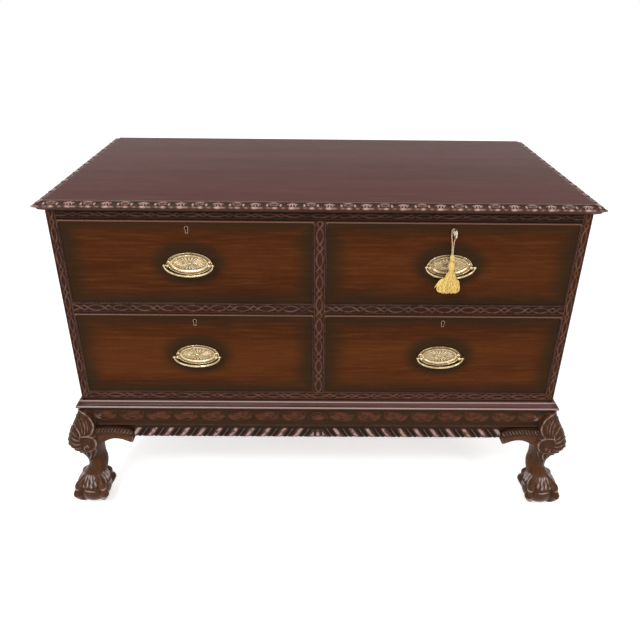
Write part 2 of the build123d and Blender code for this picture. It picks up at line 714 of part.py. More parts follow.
with BuildPart() as knee_brackets:
    rail_inner_x = STAND_HALF_WIDTH - STAND_RAIL_THICKNESS
    rail_inner_y = STAND_HALF_DEPTH - STAND_RAIL_THICKNESS
    for sx in COLUMNS.values():
        with BuildSketch(facing(sx * POST_INNER_X, -rail_inner_y, APRON_Z)):
            with BuildLine():
                Polyline(*[(-sx * along, up) for along, up in BRACKET_OUTLINE], close=True)
            make_face()
        extrude(amount=CASE_DEPTH / 2 + KNEE_BRACKET_PROJECTION - rail_inner_y)
        for sy in (-1, 1):
            side_plane = Plane(
                origin=(sx * rail_inner_x, sy * POST_INNER_Y, APRON_Z),
                x_dir=(0, -sy, 0),
                z_dir=(-sy, 0, 0),
            )
            with BuildSketch(side_plane):
                with BuildLine():
                    Polyline(*BRACKET_OUTLINE, close=True)
                make_face()
            depth = HALF_WIDTH + KNEE_BRACKET_PROJECTION - rail_inner_x
            extrude(amount=-sx * sy * depth)
    # The rails keep their places above the brackets
    block(
        (-POST_INNER_X, POST_INNER_X),
        (gadroon_back, -rail_inner_y),
        (APRON_Z, STAND_HEIGHT),
        Mode.SUBTRACT,
    )
    for sx in COLUMNS.values():
        gadroon_inner = sx * (HALF_WIDTH + GADROON_PROJECTION - GADROON_THICKNESS)
        block(
            (gadroon_inner, sx * rail_inner_x),
            (-POST_INNER_Y, POST_INNER_Y),
            (APRON_Z, STAND_HEIGHT),
            Mode.SUBTRACT,
        )
write(knee_brackets, "knee_brackets")

with BuildPart() as stand_corner_blocks:
    rail_inner_x = STAND_HALF_WIDTH - STAND_RAIL_THICKNESS
    rail_inner_y = STAND_HALF_DEPTH - STAND_RAIL_THICKNESS
    for sx in COLUMNS.values():
        for sy in (-1, 1):
            with BuildSketch(Plane.XY.offset(APRON_Z)):
                with BuildLine():
                    Polyline(
                        (sx * POST_INNER_X, sy * rail_inner_y),
                        (sx * (POST_INNER_X - CORNER_BLOCK_LENGTH), sy * rail_inner_y),
                        (sx * rail_inner_x, sy * (POST_INNER_Y - CORNER_BLOCK_LENGTH)),
                        (sx * rail_inner_x, sy * POST_INNER_Y),
                        (sx * POST_INNER_X, sy * POST_INNER_Y),
                        close=True,
                    )
                make_face()
            extrude(amount=CORNER_BLOCK_HEIGHT)
write(stand_corner_blocks, "stand_corner_blocks")

# ---------------------------------------------------------------- drawers
for row, (opening_z, opening_height) in ROWS.items():
    for column, sx in COLUMNS.items():
        drawer = f"{row}_{column}"
        middle_x = sx * OPENING_CENTRE
        half = OPENING_WIDTH / 2 - DRAWER_SIDE_GAP
        box_inner = half - BOX_SIDE_THICKNESS
        low = opening_z + DRAWER_RUNNING_GAP
        high = opening_z + opening_height - DRAWER_TOP_GAP
        side_z = (low, high - BOX_SIDE_DROP)
        panel_z = (low + BOTTOM_HEIGHT, low + BOTTOM_HEIGHT + BOTTOM_THICKNESS)
        box_end = BOARD_BACK_Y - DRAWER_BACK_GAP
        back_y = (box_end - BOX_BACK_INSET - BOX_BACK_THICKNESS, box_end - BOX_BACK_INSET)
        handle_z = opening_z + opening_height / 2
        keyhole_z = opening_z + opening_height - KEYHOLE_DROP
        posts = [middle_x + side * POST_SPACING / 2 for side in (-1, 1)]
        lock_x = (middle_x - LOCK_WIDTH / 2, middle_x + LOCK_WIDTH / 2)

        with BuildPart() as drawer_front:
            block((middle_x - half, middle_x + half), (FACE_Y + BEAD_SEAT, FRONT_BACK_Y), (low, high))
            inset = half - BEAD_THICKNESS
            block(
                (middle_x - inset, middle_x + inset),
                (FACE_Y, FACE_Y + BEAD_SEAT),
                (low + BEAD_THICKNESS, high - BEAD_THICKNESS),
            )
            for side in (-1, 1):
                end = (middle_x + side * box_inner, middle_x + side * half)
                dovetails(end, side_z, TAIL_COUNT, Mode.SUBTRACT)
            block(
                (middle_x - box_inner, middle_x + box_inner),
                (FRONT_BACK_Y - FRONT_GROOVE_DEPTH, FRONT_BACK_Y),
                panel_z,
                Mode.SUBTRACT,
            )
            block(lock_x, (LOCK_Y, FRONT_BACK_Y), (keyhole_z - LOCK_DROP, high), Mode.SUBTRACT)
            hole = keyhole(
                facing(middle_x, FACE_Y, keyhole_z),
                KEYHOLE_RADIUS,
                KEYHOLE_SLOT_WIDTH,
                KEYHOLE_SLOT_LENGTH,
            )
            extrude(hole, amount=-FRONT_THICKNESS, mode=Mode.SUBTRACT)
            seat = keyhole(
                facing(middle_x, FACE_Y, keyhole_z),
                KEYHOLE_RADIUS + ESCUTCHEON_WALL,
                KEYHOLE_SLOT_WIDTH + 2 * ESCUTCHEON_WALL,
                KEYHOLE_SLOT_LENGTH + ESCUTCHEON_WALL,
            )
            extrude(seat, amount=-ESCUTCHEON_DEPTH, mode=Mode.SUBTRACT)
            for post_x in posts:
                with BuildSketch(facing(post_x, FACE_Y, handle_z)):
                    Circle(SHANK_RADIUS + BRASS_CLEARANCE)
                extrude(amount=-FRONT_THICKNESS, mode=Mode.SUBTRACT)
        write(drawer_front, f"{drawer}_drawer_front")

        with BuildPart() as drawer_box:
            for side in (-1, 1):
                board_x = (middle_x + side * box_inner, middle_x + side * half)
                block(board_x, (FRONT_BACK_Y, box_end), side_z)
                dovetails(board_x, side_z, TAIL_COUNT, Mode.ADD)
                groove = (board_x[0], board_x[0] + side * SIDE_GROOVE_DEPTH)
                block(groove, (FRONT_BACK_Y, box_end), panel_z, Mode.SUBTRACT)
                housing = (board_x[0], board_x[0] + side * BOX_BACK_HOUSING)
                block(
                    housing,
                    back_y,
                    (panel_z[1], side_z[1]),
                    Mode.SUBTRACT,
                )
            with BuildPart(mode=Mode.PRIVATE) as back_board:
                back_half = box_inner + BOX_BACK_HOUSING - MITRE_GAP
                block(
                    (middle_x - back_half, middle_x + back_half),
                    (back_y[0] + MITRE_GAP / 2, back_y[1] - MITRE_GAP / 2),
                    (panel_z[1] + MITRE_GAP, side_z[1] - BOX_BACK_DROP),
                )
            add(back_board.part)
        write(drawer_box, f"{drawer}_drawer_box")

        with BuildPart() as drawer_bottom:
            block(
                (middle_x - box_inner, middle_x + box_inner),
                (FRONT_BACK_Y - FRONT_GROOVE_DEPTH, box_end),
                panel_z,
            )
            wide = box_inner + SIDE_GROOVE_DEPTH
            block((middle_x - wide, middle_x + wide), (FRONT_BACK_Y, box_end), panel_z)
        write(drawer_bottom, f"{drawer}_drawer_bottom")

        with BuildPart() as cockbead:
            # Four strips let into the edges of the front, mitred at the corners
            corners = [(-half, low), (half, low), (half, high), (-half, high)]
            inward = [(1, 1), (-1, 1), (-1, -1), (1, -1)]
            for number in range(4):
                following = (number + 1) % 4
                (ax, az), (bx, bz) = corners[number], corners[following]
                (aix, aiz), (bix, biz) = inward[number], inward[following]
                along_x = 1 if bx > ax else -1 if bx < ax else 0
                along_z = 1 if bz > az else -1 if bz < az else 0
                shift_x, shift_z = along_x * MITRE_GAP / 2, along_z * MITRE_GAP / 2
                with BuildPart(mode=Mode.PRIVATE) as strip:
                    with BuildSketch(facing(middle_x, FACE_Y + BEAD_SEAT, 0)):
                        with BuildLine():
                            Polyline(
                                (ax + shift_x, az + shift_z),
                                (bx - shift_x, bz - shift_z),
                                (
                                    bx + bix * BEAD_THICKNESS - shift_x,
                                    bz + biz * BEAD_THICKNESS - shift_z,
                                ),
                                (
                                    ax + aix * BEAD_THICKNESS + shift_x,
                                    az + aiz * BEAD_THICKNESS + shift_z,
                                ),
                                close=True,
                            )
                        make_face()
                    extrude(amount=BEAD_SEAT + BEAD_PROJECTION)
                    long_edges = [e for e in strip.edges() if e.length > LOCK_WIDTH]
                    fillet(ShapeList(long_edges).group_by(Axis.Y)[0], BEAD_ROUND)
                add(strip.part)
        write(cockbead, f"{drawer}_cockbead")

        with BuildPart() as handle_plate:
            face = facing(middle_x, FACE_Y, handle_z)
            dish = face.offset(PLATE_THICKNESS)
            with BuildSketch(face):
                Ellipse(PLATE_WIDTH / 2, PLATE_HEIGHT / 2)
            extrude(amount=RIM_THICKNESS)
            with BuildSketch(dish):
                Ellipse(PLATE_WIDTH / 2 - RIM_WIDTH, PLATE_HEIGHT / 2 - RIM_WIDTH)
            extrude(amount=RIM_THICKNESS, mode=Mode.SUBTRACT)
            with BuildSketch(dish):
                Ellipse(INNER_OVAL_WIDTH / 2, INNER_OVAL_HEIGHT / 2)
                Ellipse(
                    INNER_OVAL_WIDTH / 2 - INNER_OVAL_BEAD,
                    INNER_OVAL_HEIGHT / 2 - INNER_OVAL_BEAD,
                    mode=Mode.SUBTRACT,
                )
            extrude(amount=INNER_OVAL_THICKNESS - PLATE_THICKNESS)
            for post_x in posts:
                with BuildSketch(facing(post_x, FACE_Y, handle_z)):
                    Circle(POST_RADIUS + BRASS_CLEARANCE)
                extrude(amount=RIM_THICKNESS + INNER_OVAL_THICKNESS, mode=Mode.SUBTRACT)
            for post_x in posts:
                with BuildPart(mode=Mode.PRIVATE) as post:
                    with BuildSketch(facing(post_x, FACE_Y, handle_z)):
                        Circle(POST_RADIUS)
                    extrude(amount=PIVOT_DISTANCE)
                    with BuildSketch(facing(post_x, FACE_Y, handle_z)):
                        Circle(SHANK_RADIUS)
                    extrude(amount=-(FRONT_THICKNESS + NUT_THICKNESS))
                    with Locations((post_x, FACE_Y - PIVOT_DISTANCE, handle_z)):
                        Sphere(POST_BALL_RADIUS, rotation=(0, BALL_TURN, 0))
                    with BuildSketch(Plane.YZ.offset(post_x)):
                        with Locations((FACE_Y - PIVOT_DISTANCE, handle_z)):
                            Circle(BAIL_PIN_RADIUS + BRASS_CLEARANCE)
                    extrude(amount=POST_BALL_RADIUS * 2, both=True, mode=Mode.SUBTRACT)
                add(post.part)
                with BuildPart(mode=Mode.PRIVATE) as nut:
                    with BuildSketch(facing(post_x, FRONT_BACK_Y, handle_z)):
                        RegularPolygon(NUT_RADIUS, 6)
                        Circle(SHANK_RADIUS + BRASS_CLEARANCE, mode=Mode.SUBTRACT)
                    extrude(amount=-NUT_THICKNESS)
                add(nut.part)
        write(handle_plate, f"{drawer}_handle_plate")

        with BuildPart() as bail:
            hanging = facing(middle_x, FACE_Y - PIVOT_DISTANCE, handle_z)
            with BuildLine(hanging) as bail_line:
                FilletPolyline(
                    (-BAIL_HALF_SPAN, 0),
                    (-BAIL_HALF_SPAN, -BAIL_SHOULDER_DROP),
                    (-BAIL_FOOT_HALF, -BAIL_DROP),
                    (BAIL_FOOT_HALF, -BAIL_DROP),
                    (BAIL_HALF_SPAN, -BAIL_SHOULDER_DROP),
                    (BAIL_HALF_SPAN, 0),
                    radius=[BAIL_BENDS[0], BAIL_BENDS[1], BAIL_BENDS[1], BAIL_BENDS[0]],
                )
            with BuildSketch(Plane(origin=bail_line.line @ 0, z_dir=bail_line.line % 0)):
                Circle(BAIL_RADIUS)
            sweep()
            for side in (-1, 1):
                knob_x = middle_x + side * BAIL_HALF_SPAN
                pivot = (knob_x, FACE_Y - PIVOT_DISTANCE, handle_z)
                with Locations(pivot):
                    Sphere(BAIL_KNOB_RADIUS)
                tip_x = middle_x + side * (POST_SPACING / 2 + POST_BALL_RADIUS - BAIL_PIN_LENGTH)
                with BuildSketch(Plane.YZ.offset(knob_x)):
                    with Locations((FACE_Y - PIVOT_DISTANCE, handle_z)):
                        Circle(BAIL_PIN_RADIUS)
                extrude(amount=tip_x - knob_x)
        write(bail, f"{drawer}_bail")

        with BuildPart() as lock:
            block(lock_x, (LOCK_Y, FRONT_BACK_Y), (keyhole_z - LOCK_DROP, high))
            block(
                (middle_x - LOCK_CAVITY_HALF, middle_x + LOCK_CAVITY_HALF),
                (LOCK_Y + LOCK_WALL, FRONT_BACK_Y - LOCK_WALL),
                (keyhole_z - LOCK_DROP + LOCK_WALL, high - LOCK_WALL),
                Mode.SUBTRACT,
            )
            slot = BOLT_WIDTH / 2 + BOLT_CLEARANCE
            block(
                (middle_x - slot, middle_x + slot),
                (BOLT_Y - BOLT_CLEARANCE, BOLT_Y + BOLT_THICKNESS + BOLT_CLEARANCE),
                (high - LOCK_WALL, high),
                Mode.SUBTRACT,
            )
            hole = keyhole(
                facing(middle_x, LOCK_Y, keyhole_z),
                KEYHOLE_RADIUS,
                KEYHOLE_SLOT_WIDTH,
                KEYHOLE_SLOT_LENGTH,
            )
            extrude(hole, amount=-LOCK_WALL, mode=Mode.SUBTRACT)
            with BuildPart(mode=Mode.PRIVATE) as escutcheon:
                face = facing(middle_x, FACE_Y + ESCUTCHEON_DEPTH, keyhole_z)
                outline = keyhole(
                    face,
                    KEYHOLE_RADIUS + ESCUTCHEON_WALL,
                    KEYHOLE_SLOT_WIDTH + 2 * ESCUTCHEON_WALL,
                    KEYHOLE_SLOT_LENGTH + ESCUTCHEON_WALL,
                )
                extrude(outline, amount=ESCUTCHEON_DEPTH + ESCUTCHEON_PROUD)
                hole = keyhole(face, KEYHOLE_RADIUS, KEYHOLE_SLOT_WIDTH, KEYHOLE_SLOT_LENGTH)
                extrude(hole, amount=ESCUTCHEON_DEPTH + ESCUTCHEON_PROUD, mode=Mode.SUBTRACT)
            add(escutcheon.part)
        write(lock, f"{drawer}_lock")

        with BuildPart() as lock_bolt:
            block(
                (middle_x - BOLT_WIDTH / 2, middle_x + BOLT_WIDTH / 2),
                (BOLT_Y, BOLT_Y + BOLT_THICKNESS),
                (keyhole_z - BOLT_DROP, high - BOLT_TOP_INSET),
            )
            block(
                (middle_x - STUMP_WIDTH / 2, middle_x + STUMP_WIDTH / 2),
                (LOCK_Y + LOCK_WALL + LOCK_PART_GAP, BOLT_Y),
                (keyhole_z + STUMP_RISE, high - LOCK_WALL - LOCK_PART_GAP - BOLT_THROW),
            )
        write(lock_bolt, f"{drawer}_lock_bolt")

# ---------------------------------------------------------------- key and tassel
KEY_X = OPENING_CENTRE
KEY_Z = UPPER_OPENING_Z + UPPER_OPENING_HEIGHT - KEYHOLE_DROP
key_end_y = BOLT_Y - LOCK_PART_GAP
key_neck_y = FACE_Y - KEY_REACH

with BuildPart() as key:
    with BuildSketch(facing(KEY_X, key_end_y, KEY_Z)):
        Circle(KEY_STEM_RADIUS)
    extrude(amount=key_end_y - key_neck_y)
    with BuildSketch(facing(KEY_X, key_neck_y + KEY_COLLAR_LENGTH, KEY_Z)):
        Circle(KEY_STEM_RADIUS + KEY_COLLAR_STEP)
    extrude(amount=KEY_COLLAR_LENGTH)
    block(
        (KEY_X - KEY_BIT_THICKNESS / 2, KEY_X + KEY_BIT_THICKNESS / 2),
        (key_end_y - KEY_BIT_WIDTH, key_end_y),
        (KEY_Z - KEY_BIT_LENGTH, KEY_Z),
    )
    bow_plane = Plane.YZ.offset(KEY_X)
    with BuildSketch(bow_plane):
        with Locations((key_neck_y - KEY_BOW_RADIUS + KEY_COLLAR_LENGTH / 2, KEY_Z)):
            Circle(KEY_BOW_RADIUS)
            Circle(KEY_BOW_HOLE, mode=Mode.SUBTRACT)
    extrude(amount=KEY_BOW_THICKNESS / 2, both=True)
write(key, "key")

with BuildPart() as key_cord:
    route = [(KEY_X + across, FACE_Y - out, KEY_Z + up) for across, out, up in CORD_ROUTE]
    radii = []
    for before, at, after in zip(route, route[1:], route[2:]):
        arriving, leaving = Vector(*at) - Vector(*before), Vector(*after) - Vector(*at)
        half_turn = radians(arriving.get_angle(leaving)) / 2
        radii.append(CORD_BEND_SHARE * min(arriving.length, leaving.length) / tan(half_turn))
    over_stem = len(radii) // 2
    radii[over_stem - 1] = radii[over_stem] = CORD_STEM_BEND
    with BuildLine() as cord_line:
        FilletPolyline(*route, radius=radii)
    with BuildSketch(Plane(origin=cord_line.line @ 0, z_dir=cord_line.line % 0)):
        Circle(CORD_DIAMETER / 2)
    sweep()
cord_length = cord_line.wires()[0].length
print("cord radii", [round(r, 1) for r in radii], "length", round(cord_length, 1))
print("cord volume", key_cord.part.volume, "expected", cord_length * Circle(CORD_DIAMETER / 2).area)
write(key_cord, "key_cord")

with BuildPart() as key_tassel:
    skirt = [(depth, BAIL_FRONT + gap + thick, wide, thick) for depth, gap, wide, thick in TASSEL_SKIRT]
    for rings in (TASSEL_HEAD, [TASSEL_HEAD[-1], *skirt]):
        with BuildPart(mode=Mode.PRIVATE) as section:
            for depth, out, half_width, half_depth in rings:
                with BuildSketch(Plane.XY.offset(KEY_Z - depth)):
                    with Locations((KEY_X, FACE_Y - out)):
                        Ellipse(half_width, half_depth)
            loft()
        add(section.part)
write(key_tassel, "key_tassel")
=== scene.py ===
"""Looks of a low mahogany chest of drawers on a carved stand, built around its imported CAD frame."""

from math import cos, pi, radians, sin, tau

import bpy
import numpy as np
from mathutils import Matrix, Vector

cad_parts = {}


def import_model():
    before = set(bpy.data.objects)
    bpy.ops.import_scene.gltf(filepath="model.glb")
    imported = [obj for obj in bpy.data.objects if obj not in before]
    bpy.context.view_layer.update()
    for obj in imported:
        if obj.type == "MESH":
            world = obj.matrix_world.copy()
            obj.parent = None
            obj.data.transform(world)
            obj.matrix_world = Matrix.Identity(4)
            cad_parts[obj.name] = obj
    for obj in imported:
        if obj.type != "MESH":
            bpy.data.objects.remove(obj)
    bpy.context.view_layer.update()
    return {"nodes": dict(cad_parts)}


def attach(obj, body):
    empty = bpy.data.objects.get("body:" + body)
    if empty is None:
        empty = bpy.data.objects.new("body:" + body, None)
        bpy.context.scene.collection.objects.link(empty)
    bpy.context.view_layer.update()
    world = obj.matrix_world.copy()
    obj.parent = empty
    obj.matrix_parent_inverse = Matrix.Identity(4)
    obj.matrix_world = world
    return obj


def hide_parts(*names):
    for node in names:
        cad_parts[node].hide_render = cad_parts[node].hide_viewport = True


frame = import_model()

MM = 0.001


def linked(name, data):
    """A new object in the scene."""
    item = bpy.data.objects.new(name, data)
    bpy.context.scene.collection.objects.link(item)
    return item


# ---------------------------------------------------------------- camera
CAMERA_MM = (-12.0, -1646.6, 1263.0)
YAW, PITCH, ROLL = radians(0.6), radians(28.041), radians(0.665)
SENSOR_MM, FOCAL_PX, IMAGE_PX = 36, 637.765, 640

forward = Vector((sin(YAW) * cos(PITCH), cos(YAW) * cos(PITCH), -sin(PITCH)))
level = Vector((cos(YAW), -sin(YAW), 0))
upright = level.cross(forward)
right = cos(ROLL) * level + sin(ROLL) * upright
above = cos(ROLL) * upright - sin(ROLL) * level
camera_data = bpy.data.cameras.new("camera")
camera_data.sensor_width = SENSOR_MM
camera_data.lens = SENSOR_MM * (FOCAL_PX / IMAGE_PX)
camera = linked("camera", camera_data)
aim = Matrix((right, above, -forward)).transposed().to_4x4()
camera.matrix_world = Matrix.Translation(Vector(CAMERA_MM) * MM) @ aim
bpy.context.scene.camera = camera

# ---------------------------------------------------------------- sizes of the frame, in millimetres
CASE_HALF_WIDTH, CASE_HALF_DEPTH = 600.0, 306.0
STAND_TOP_Z, CASE_TOP_Z, TOP_Z = 324.0, 816.0, 838.0
MOULDING_Z, GADROON_Z, APRON_Z = 296.0, 241.0, 206.0
FRIEZE_OUT, GADROON_OUT = 8.0, 15.0
FRONT_OUT, SIDE_OUT = CASE_HALF_DEPTH + FRIEZE_OUT, CASE_HALF_WIDTH + FRIEZE_OUT
POST_INNER_X, POST_INNER_Y = 558.0, 264.0
RAIL_THICKNESS, MOULDING_SEAT = 22.0, 6.0
FACE_Y, DRAWER_X, KEYHOLE_Z = -305.0, 296.25, 776.7
FRONT_HALF_X, FRONT_HALF_Z = 282.75, {"upper": 101.85, "lower": 110.1}
HANDLE_Z = {"upper": 692.25, "lower": 451.5}
SIDES = {"left": -1, "right": 1}
DRAWERS = [(f"{row}_{side}", sx * DRAWER_X, row) for row in HANDLE_Z for side, sx in SIDES.items()]


# ---------------------------------------------------------------- helpers with numbers and points
def smooth_step(low, high, x):
    t = np.clip((x - low) / (high - low), 0, 1)
    return t * t * (3 - 2 * t)


def xyz(x, y, z):
    """Points from their coordinates, which are arrays or single numbers."""
    return np.stack(np.broadcast_arrays(x, y, z), -1)


def circle(points):
    return np.linspace(0, tau, points, endpoint=False)


def looked_up(at, table):
    """The other columns of a table, each read at given values of its first."""
    first, *others = np.asarray(table, float).T
    return [np.interp(at, first, column) for column in others]


def tapered(values, count):
    """A few values spread evenly along a line, as many samples as asked."""
    return np.interp(np.linspace(0, 1, count), np.linspace(0, 1, len(values)), values)


def respaced(curve, count=None, step=1.0):
    """Evenly spaced points along a curve, a count of them or one each step, and how far along each lies."""
    run = np.concatenate(([0], np.cumsum(np.linalg.norm(np.diff(curve, axis=0), axis=1))))
    even = np.linspace(0, run[-1], count or int(run[-1] / step) + 1)
    return np.stack(looked_up(even, np.column_stack((run, curve))), -1), even


def directions(line):
    """The unit directions along a line of points."""
    slopes = np.gradient(line, axis=0)
    return slopes / np.linalg.norm(slopes, axis=1, keepdims=True)


def bend(points, count):
    """A smooth line through a few points (Catmull-Rom), as many samples as asked."""
    points = np.asarray(points, float)
    padded = np.vstack((2 * points[0] - points[1], points, 2 * points[-1] - points[-2]))
    where = np.linspace(0, len(points) - 1, count)
    index = np.minimum(where.astype(int), len(points) - 2)
    t = (where - index)[:, None]
    p0, p1, p2, p3 = (padded[index + k] for k in range(4))
    cubic = (3 * p1 - p0 - 3 * p2 + p3) * t**3
    return 0.5 * (2 * p1 + (p2 - p0) * t + (2 * p0 - 5 * p1 + 4 * p2 - p3) * t**2 + cubic)


def stroke(x, y, points, count, widths):
    """The height, 0 to 1, of a rounded ridge along a smooth route; widths are half-widths along it."""
    route = bend(points, count)
    half = tapered(widths, count)
    best = np.zeros(np.broadcast(x, y).shape)
    for (ax, ay), (bx, by), ra, rb in zip(route, route[1:], half, half[1:]):
        dx, dy = bx - ax, by - ay
        along = np.clip(((x - ax) * dx + (y - ay) * dy) / (dx * dx + dy * dy), 0, 1)
        gap = np.hypot(x - ax - along * dx, y - ay - along * dy) / (ra + (rb - ra) * along)
        best = np.maximum(best, np.sqrt(np.clip(1 - gap * gap, 0, 1)))
    return best


def dome(x, y, centre, half_sizes, turn=0.0):
    """The height, 0 to 1, of a rounded oval mound, turned by some degrees."""
    dx, dy = x - centre[0], y - centre[1]
    along = dx * cos(radians(turn)) + dy * sin(radians(turn))
    aside = dy * cos(radians(turn)) - dx * sin(radians(turn))
    return np.sqrt(np.clip(1 - (along / half_sizes[0]) ** 2 - (aside / half_sizes[1]) ** 2, 0, 1))


# ---------------------------------------------------------------- parts: points in millimetres, faces, relief
# Relief, a value at each point, runs from 0 in the ground of the carving to 1 on its crests.
# The carved woods paint their ground darker from it, partly as painted shade, and their crests paler, partly
# as painted highlight; on the tassel it is how lit each yarn is painted.
def loft(sections, relief=0.5, flip=False, closed_along=False):
    """A part from an array of cross-sections, each a closed ring of points, with a cap on each end."""
    count, points = sections.shape[:2]
    ring = np.arange(points)
    rows = np.arange(count if closed_along else count - 1)[:, None]
    here, ahead, beside = rows * points, (rows + 1) % count * points, (ring + 1) % points
    faces = np.stack((here + ring, ahead + ring, ahead + beside, here + beside), -1).reshape(-1, 4).tolist()
    if not closed_along:
        faces += [ring.tolist(), ((count - 1) * points + ring).tolist()[::-1]]
    verts = sections.reshape(-1, 3)
    return verts, mirrored(faces) if flip else faces, np.broadcast_to(relief, (count, points)).ravel()


def mirrored(faces):
    return [face[::-1] for face in faces]


def tube(centres, radii, points):
    """A part that follows a line of points, with one radius or a radius at each."""
    tangents = directions(centres)
    side = np.cross(tangents[0], (0.3, 0.2, 0.9))
    sides = []
    for tangent in tangents:
        side = side - tangent * side.dot(tangent)
        side /= np.linalg.norm(side)
        sides.append(side)
    sides = np.array(sides)[:, None]
    turn = circle(points)[:, None]
    rings = sides * np.cos(turn) + np.cross(tangents, sides[:, 0])[:, None] * np.sin(turn)
    return loft(centres[:, None] + rings * np.broadcast_to(radii, len(centres))[:, None, None])


def plain_box(*ranges):
    """A box from its ranges in x, y and z."""
    (x0, x1), (y0, y1), (z0, z1) = map(sorted, ranges)
    return loft(np.array([[(x, y0, z0), (x, y1, z0), (x, y1, z1), (x, y0, z1)] for x in (x0, x1)]))


def front_place(along, up, out):
    """A point of the front, from its distance along, its height, and its distance out from the middle."""
    return xyz(along, -out, up)


def side_place(side):
    """The same for a side of the chest, which is -1 or 1."""
    return lambda along, up, out: xyz(side * out, along, up)


PLACES = {"front": (front_place, CASE_HALF_DEPTH)}
PLACES |= {name: (side_place(side), CASE_HALF_WIDTH) for name, side in SIDES.items()}


def carved_board(place, across_range, up_range, out, thickness, carving, step=1.0, flip=False):
    """A board with a carved face; carving(along, up) gives how deep under it each point lies, and relief."""
    ranges = (across_range, up_range)
    along, up = (np.linspace(low, high, int((high - low) / step) + 1) for low, high in ranges)
    grid_along, grid_up = np.meshgrid(along, up, indexing="ij")
    below, relief = carving(grid_along, grid_up)
    face = place(grid_along, grid_up, out - below)
    low_back, high_back = (place(along, edge, out - thickness)[:, None] for edge in up_range)
    sections = np.concatenate((low_back, face, high_back), 1)
    return loft(sections, np.pad(relief, ((0, 0), (1, 1)), mode="edge"), flip)


def mesh_of(name, parts):
    """A mesh from parts, and its relief values."""
    verts, faces, relief, start = [], [], [], 0
    for part_verts, part_faces, part_relief in parts:
        verts.append(part_verts)
        faces += [[start + i for i in face] for face in part_faces]
        relief.append(part_relief)
        start += len(part_verts)
    mesh = bpy.data.meshes.new(name)
    mesh.from_pydata((np.concatenate(verts) * MM).tolist(), [], faces)
    mesh.update()
    return mesh, np.concatenate(relief)


def piece(name, parts, material, hides, body="root", smooth=True):
    """A visual piece from parts, which stands for a CAD node and rides on a body."""
    mesh, relief = mesh_of(name, parts)
    mesh.attributes.new("relief", "FLOAT", "POINT").data.foreach_set("value", relief.astype(np.float32))
    mesh.polygons.foreach_set("use_smooth", [smooth] * len(mesh.polygons))
    mesh.materials.append(material)
    item = linked(name, mesh)
    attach(item, body)
    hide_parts(hides)
    return item


# ---------------------------------------------------------------- node materials
class Nodes:
    """A short way to write a node tree: each call adds a node and returns its output."""

    def __init__(self, tree):
        self.tree = tree

    def set(self, socket, value):
        if isinstance(value, bpy.types.NodeSocket):
            self.tree.links.new(value, socket)
        else:
            socket.default_value = (*value, 1.0) if socket.type == "RGBA" else value

    def node(self, kind, inputs=(), **settings):
        """A new node; inputs gives its inputs in their order, or by name or number."""
        node = self.tree.nodes.new("ShaderNode" + kind)
        for key, value in settings.items():
            setattr(node, key, value)
        for key, value in inputs.items() if isinstance(inputs, dict) else enumerate(inputs):
            self.set(node.inputs[key], value)
        return node

    def math(self, operation, *values):
        return self.node("Math", values, operation=operation).outputs[0]

    def seen_ray(self):
        """1 for a ray from the camera or by way of a reflection or glass, and 0 for other light."""
        rays = self.node("LightPath").outputs
        shown = self.math("MAXIMUM", rays["Is Camera Ray"], rays["Is Glossy Ray"])
        return self.math("MAXIMUM", shown, rays["Is Transmission Ray"])


class Shader(Nodes):
    """A node material, which knows the places in the frame and the relief of what it is on."""

    def __init__(self, name):
        self.material = bpy.data.materials.new(name)
        self.material.use_nodes = True
        super().__init__(self.material.node_tree)
        self.bsdf = self.tree.nodes["Principled BSDF"]
        self.place = self.node("TexCoord").outputs["Object"]
        self.relief = self.node("Attribute", attribute_name="relief").outputs["Fac"]

    def stretched(self, scale, turn=(0, 0, 0)):
        return self.node("Mapping", {"Vector": self.place, "Rotation": turn, "Scale": scale}).outputs[0]

    def noise(self, stretch, scale, detail=4.0, roughness=0.55, distortion=0.0, turn=(0, 0, 0)):
        """Noise between 0 and 1; stretch is a scale for each axis, or one for all three."""
        stretch = stretch if isinstance(stretch, tuple) else (stretch,) * 3
        inputs = {"Vector": self.stretched(stretch, turn), "Scale": scale, "Detail": detail}
        inputs |= {"Roughness": roughness, "Distortion": distortion}
        return self.node("TexNoise", inputs).outputs["Fac"]

    def spread(self, value, low, high, to_low=0.0, to_high=1.0):
        inputs = (value, low, high, to_low, to_high)
        return self.node("MapRange", inputs, interpolation_type="SMOOTHSTEP").outputs["Result"]

    def mix(self, share, a, b):
        return self.node("Mix", {0: share, 6: a, 7: b}, data_type="RGBA").outputs[2]

    def axes(self):
        return self.node("SeparateXYZ", (self.place,)).outputs

    def finish(self, colour, roughness, bump=None, **sockets):
        """The material; bump is its height, distance and strength."""
        sockets |= {"Base Color": colour, "Roughness": roughness}
        if bump:
            bump = dict(zip(("Height", "Distance", "Strength"), bump))
            sockets["Normal"] = self.node("Bump", bump).outputs["Normal"]
        for key, value in sockets.items():
            self.set(self.bsdf.inputs[key.replace("_", " ")], value)
        return self.material


GRAIN_STRETCH = {"x": (1.0, 16.0, 16.0), "y": (16.0, 1.0, 16.0), "z": (16.0, 16.0, 1.0)}


def grain(shader, along, tones, pores):
    """Wood colour and a fine pore height, with the grain along one axis of the frame."""
    dark, middle, light = tones
    stretch = GRAIN_STRETCH[along]
    broad = shader.noise(tuple(s * 0.35 for s in stretch), 1.6, 3.0, 0.5, 0.6)
    streaks = shader.noise(stretch, 9.0, 6.0, 0.62, 0.25)
    fine = shader.noise(stretch, 48.0, 3.0, 0.6)
    colour = shader.mix(shader.spread(broad, 0.3, 0.72), dark, middle)
    colour = shader.mix(shader.spread(streaks, 0.4, 0.85, 0.0, 0.75), colour, light)
    pore_map = shader.spread(fine, 0.56, 0.7)
    in_pores = [c * 0.45 for c in dark]
    return shader.mix(shader.math("MULTIPLY", pore_map, pores), colour, in_pores), pore_map


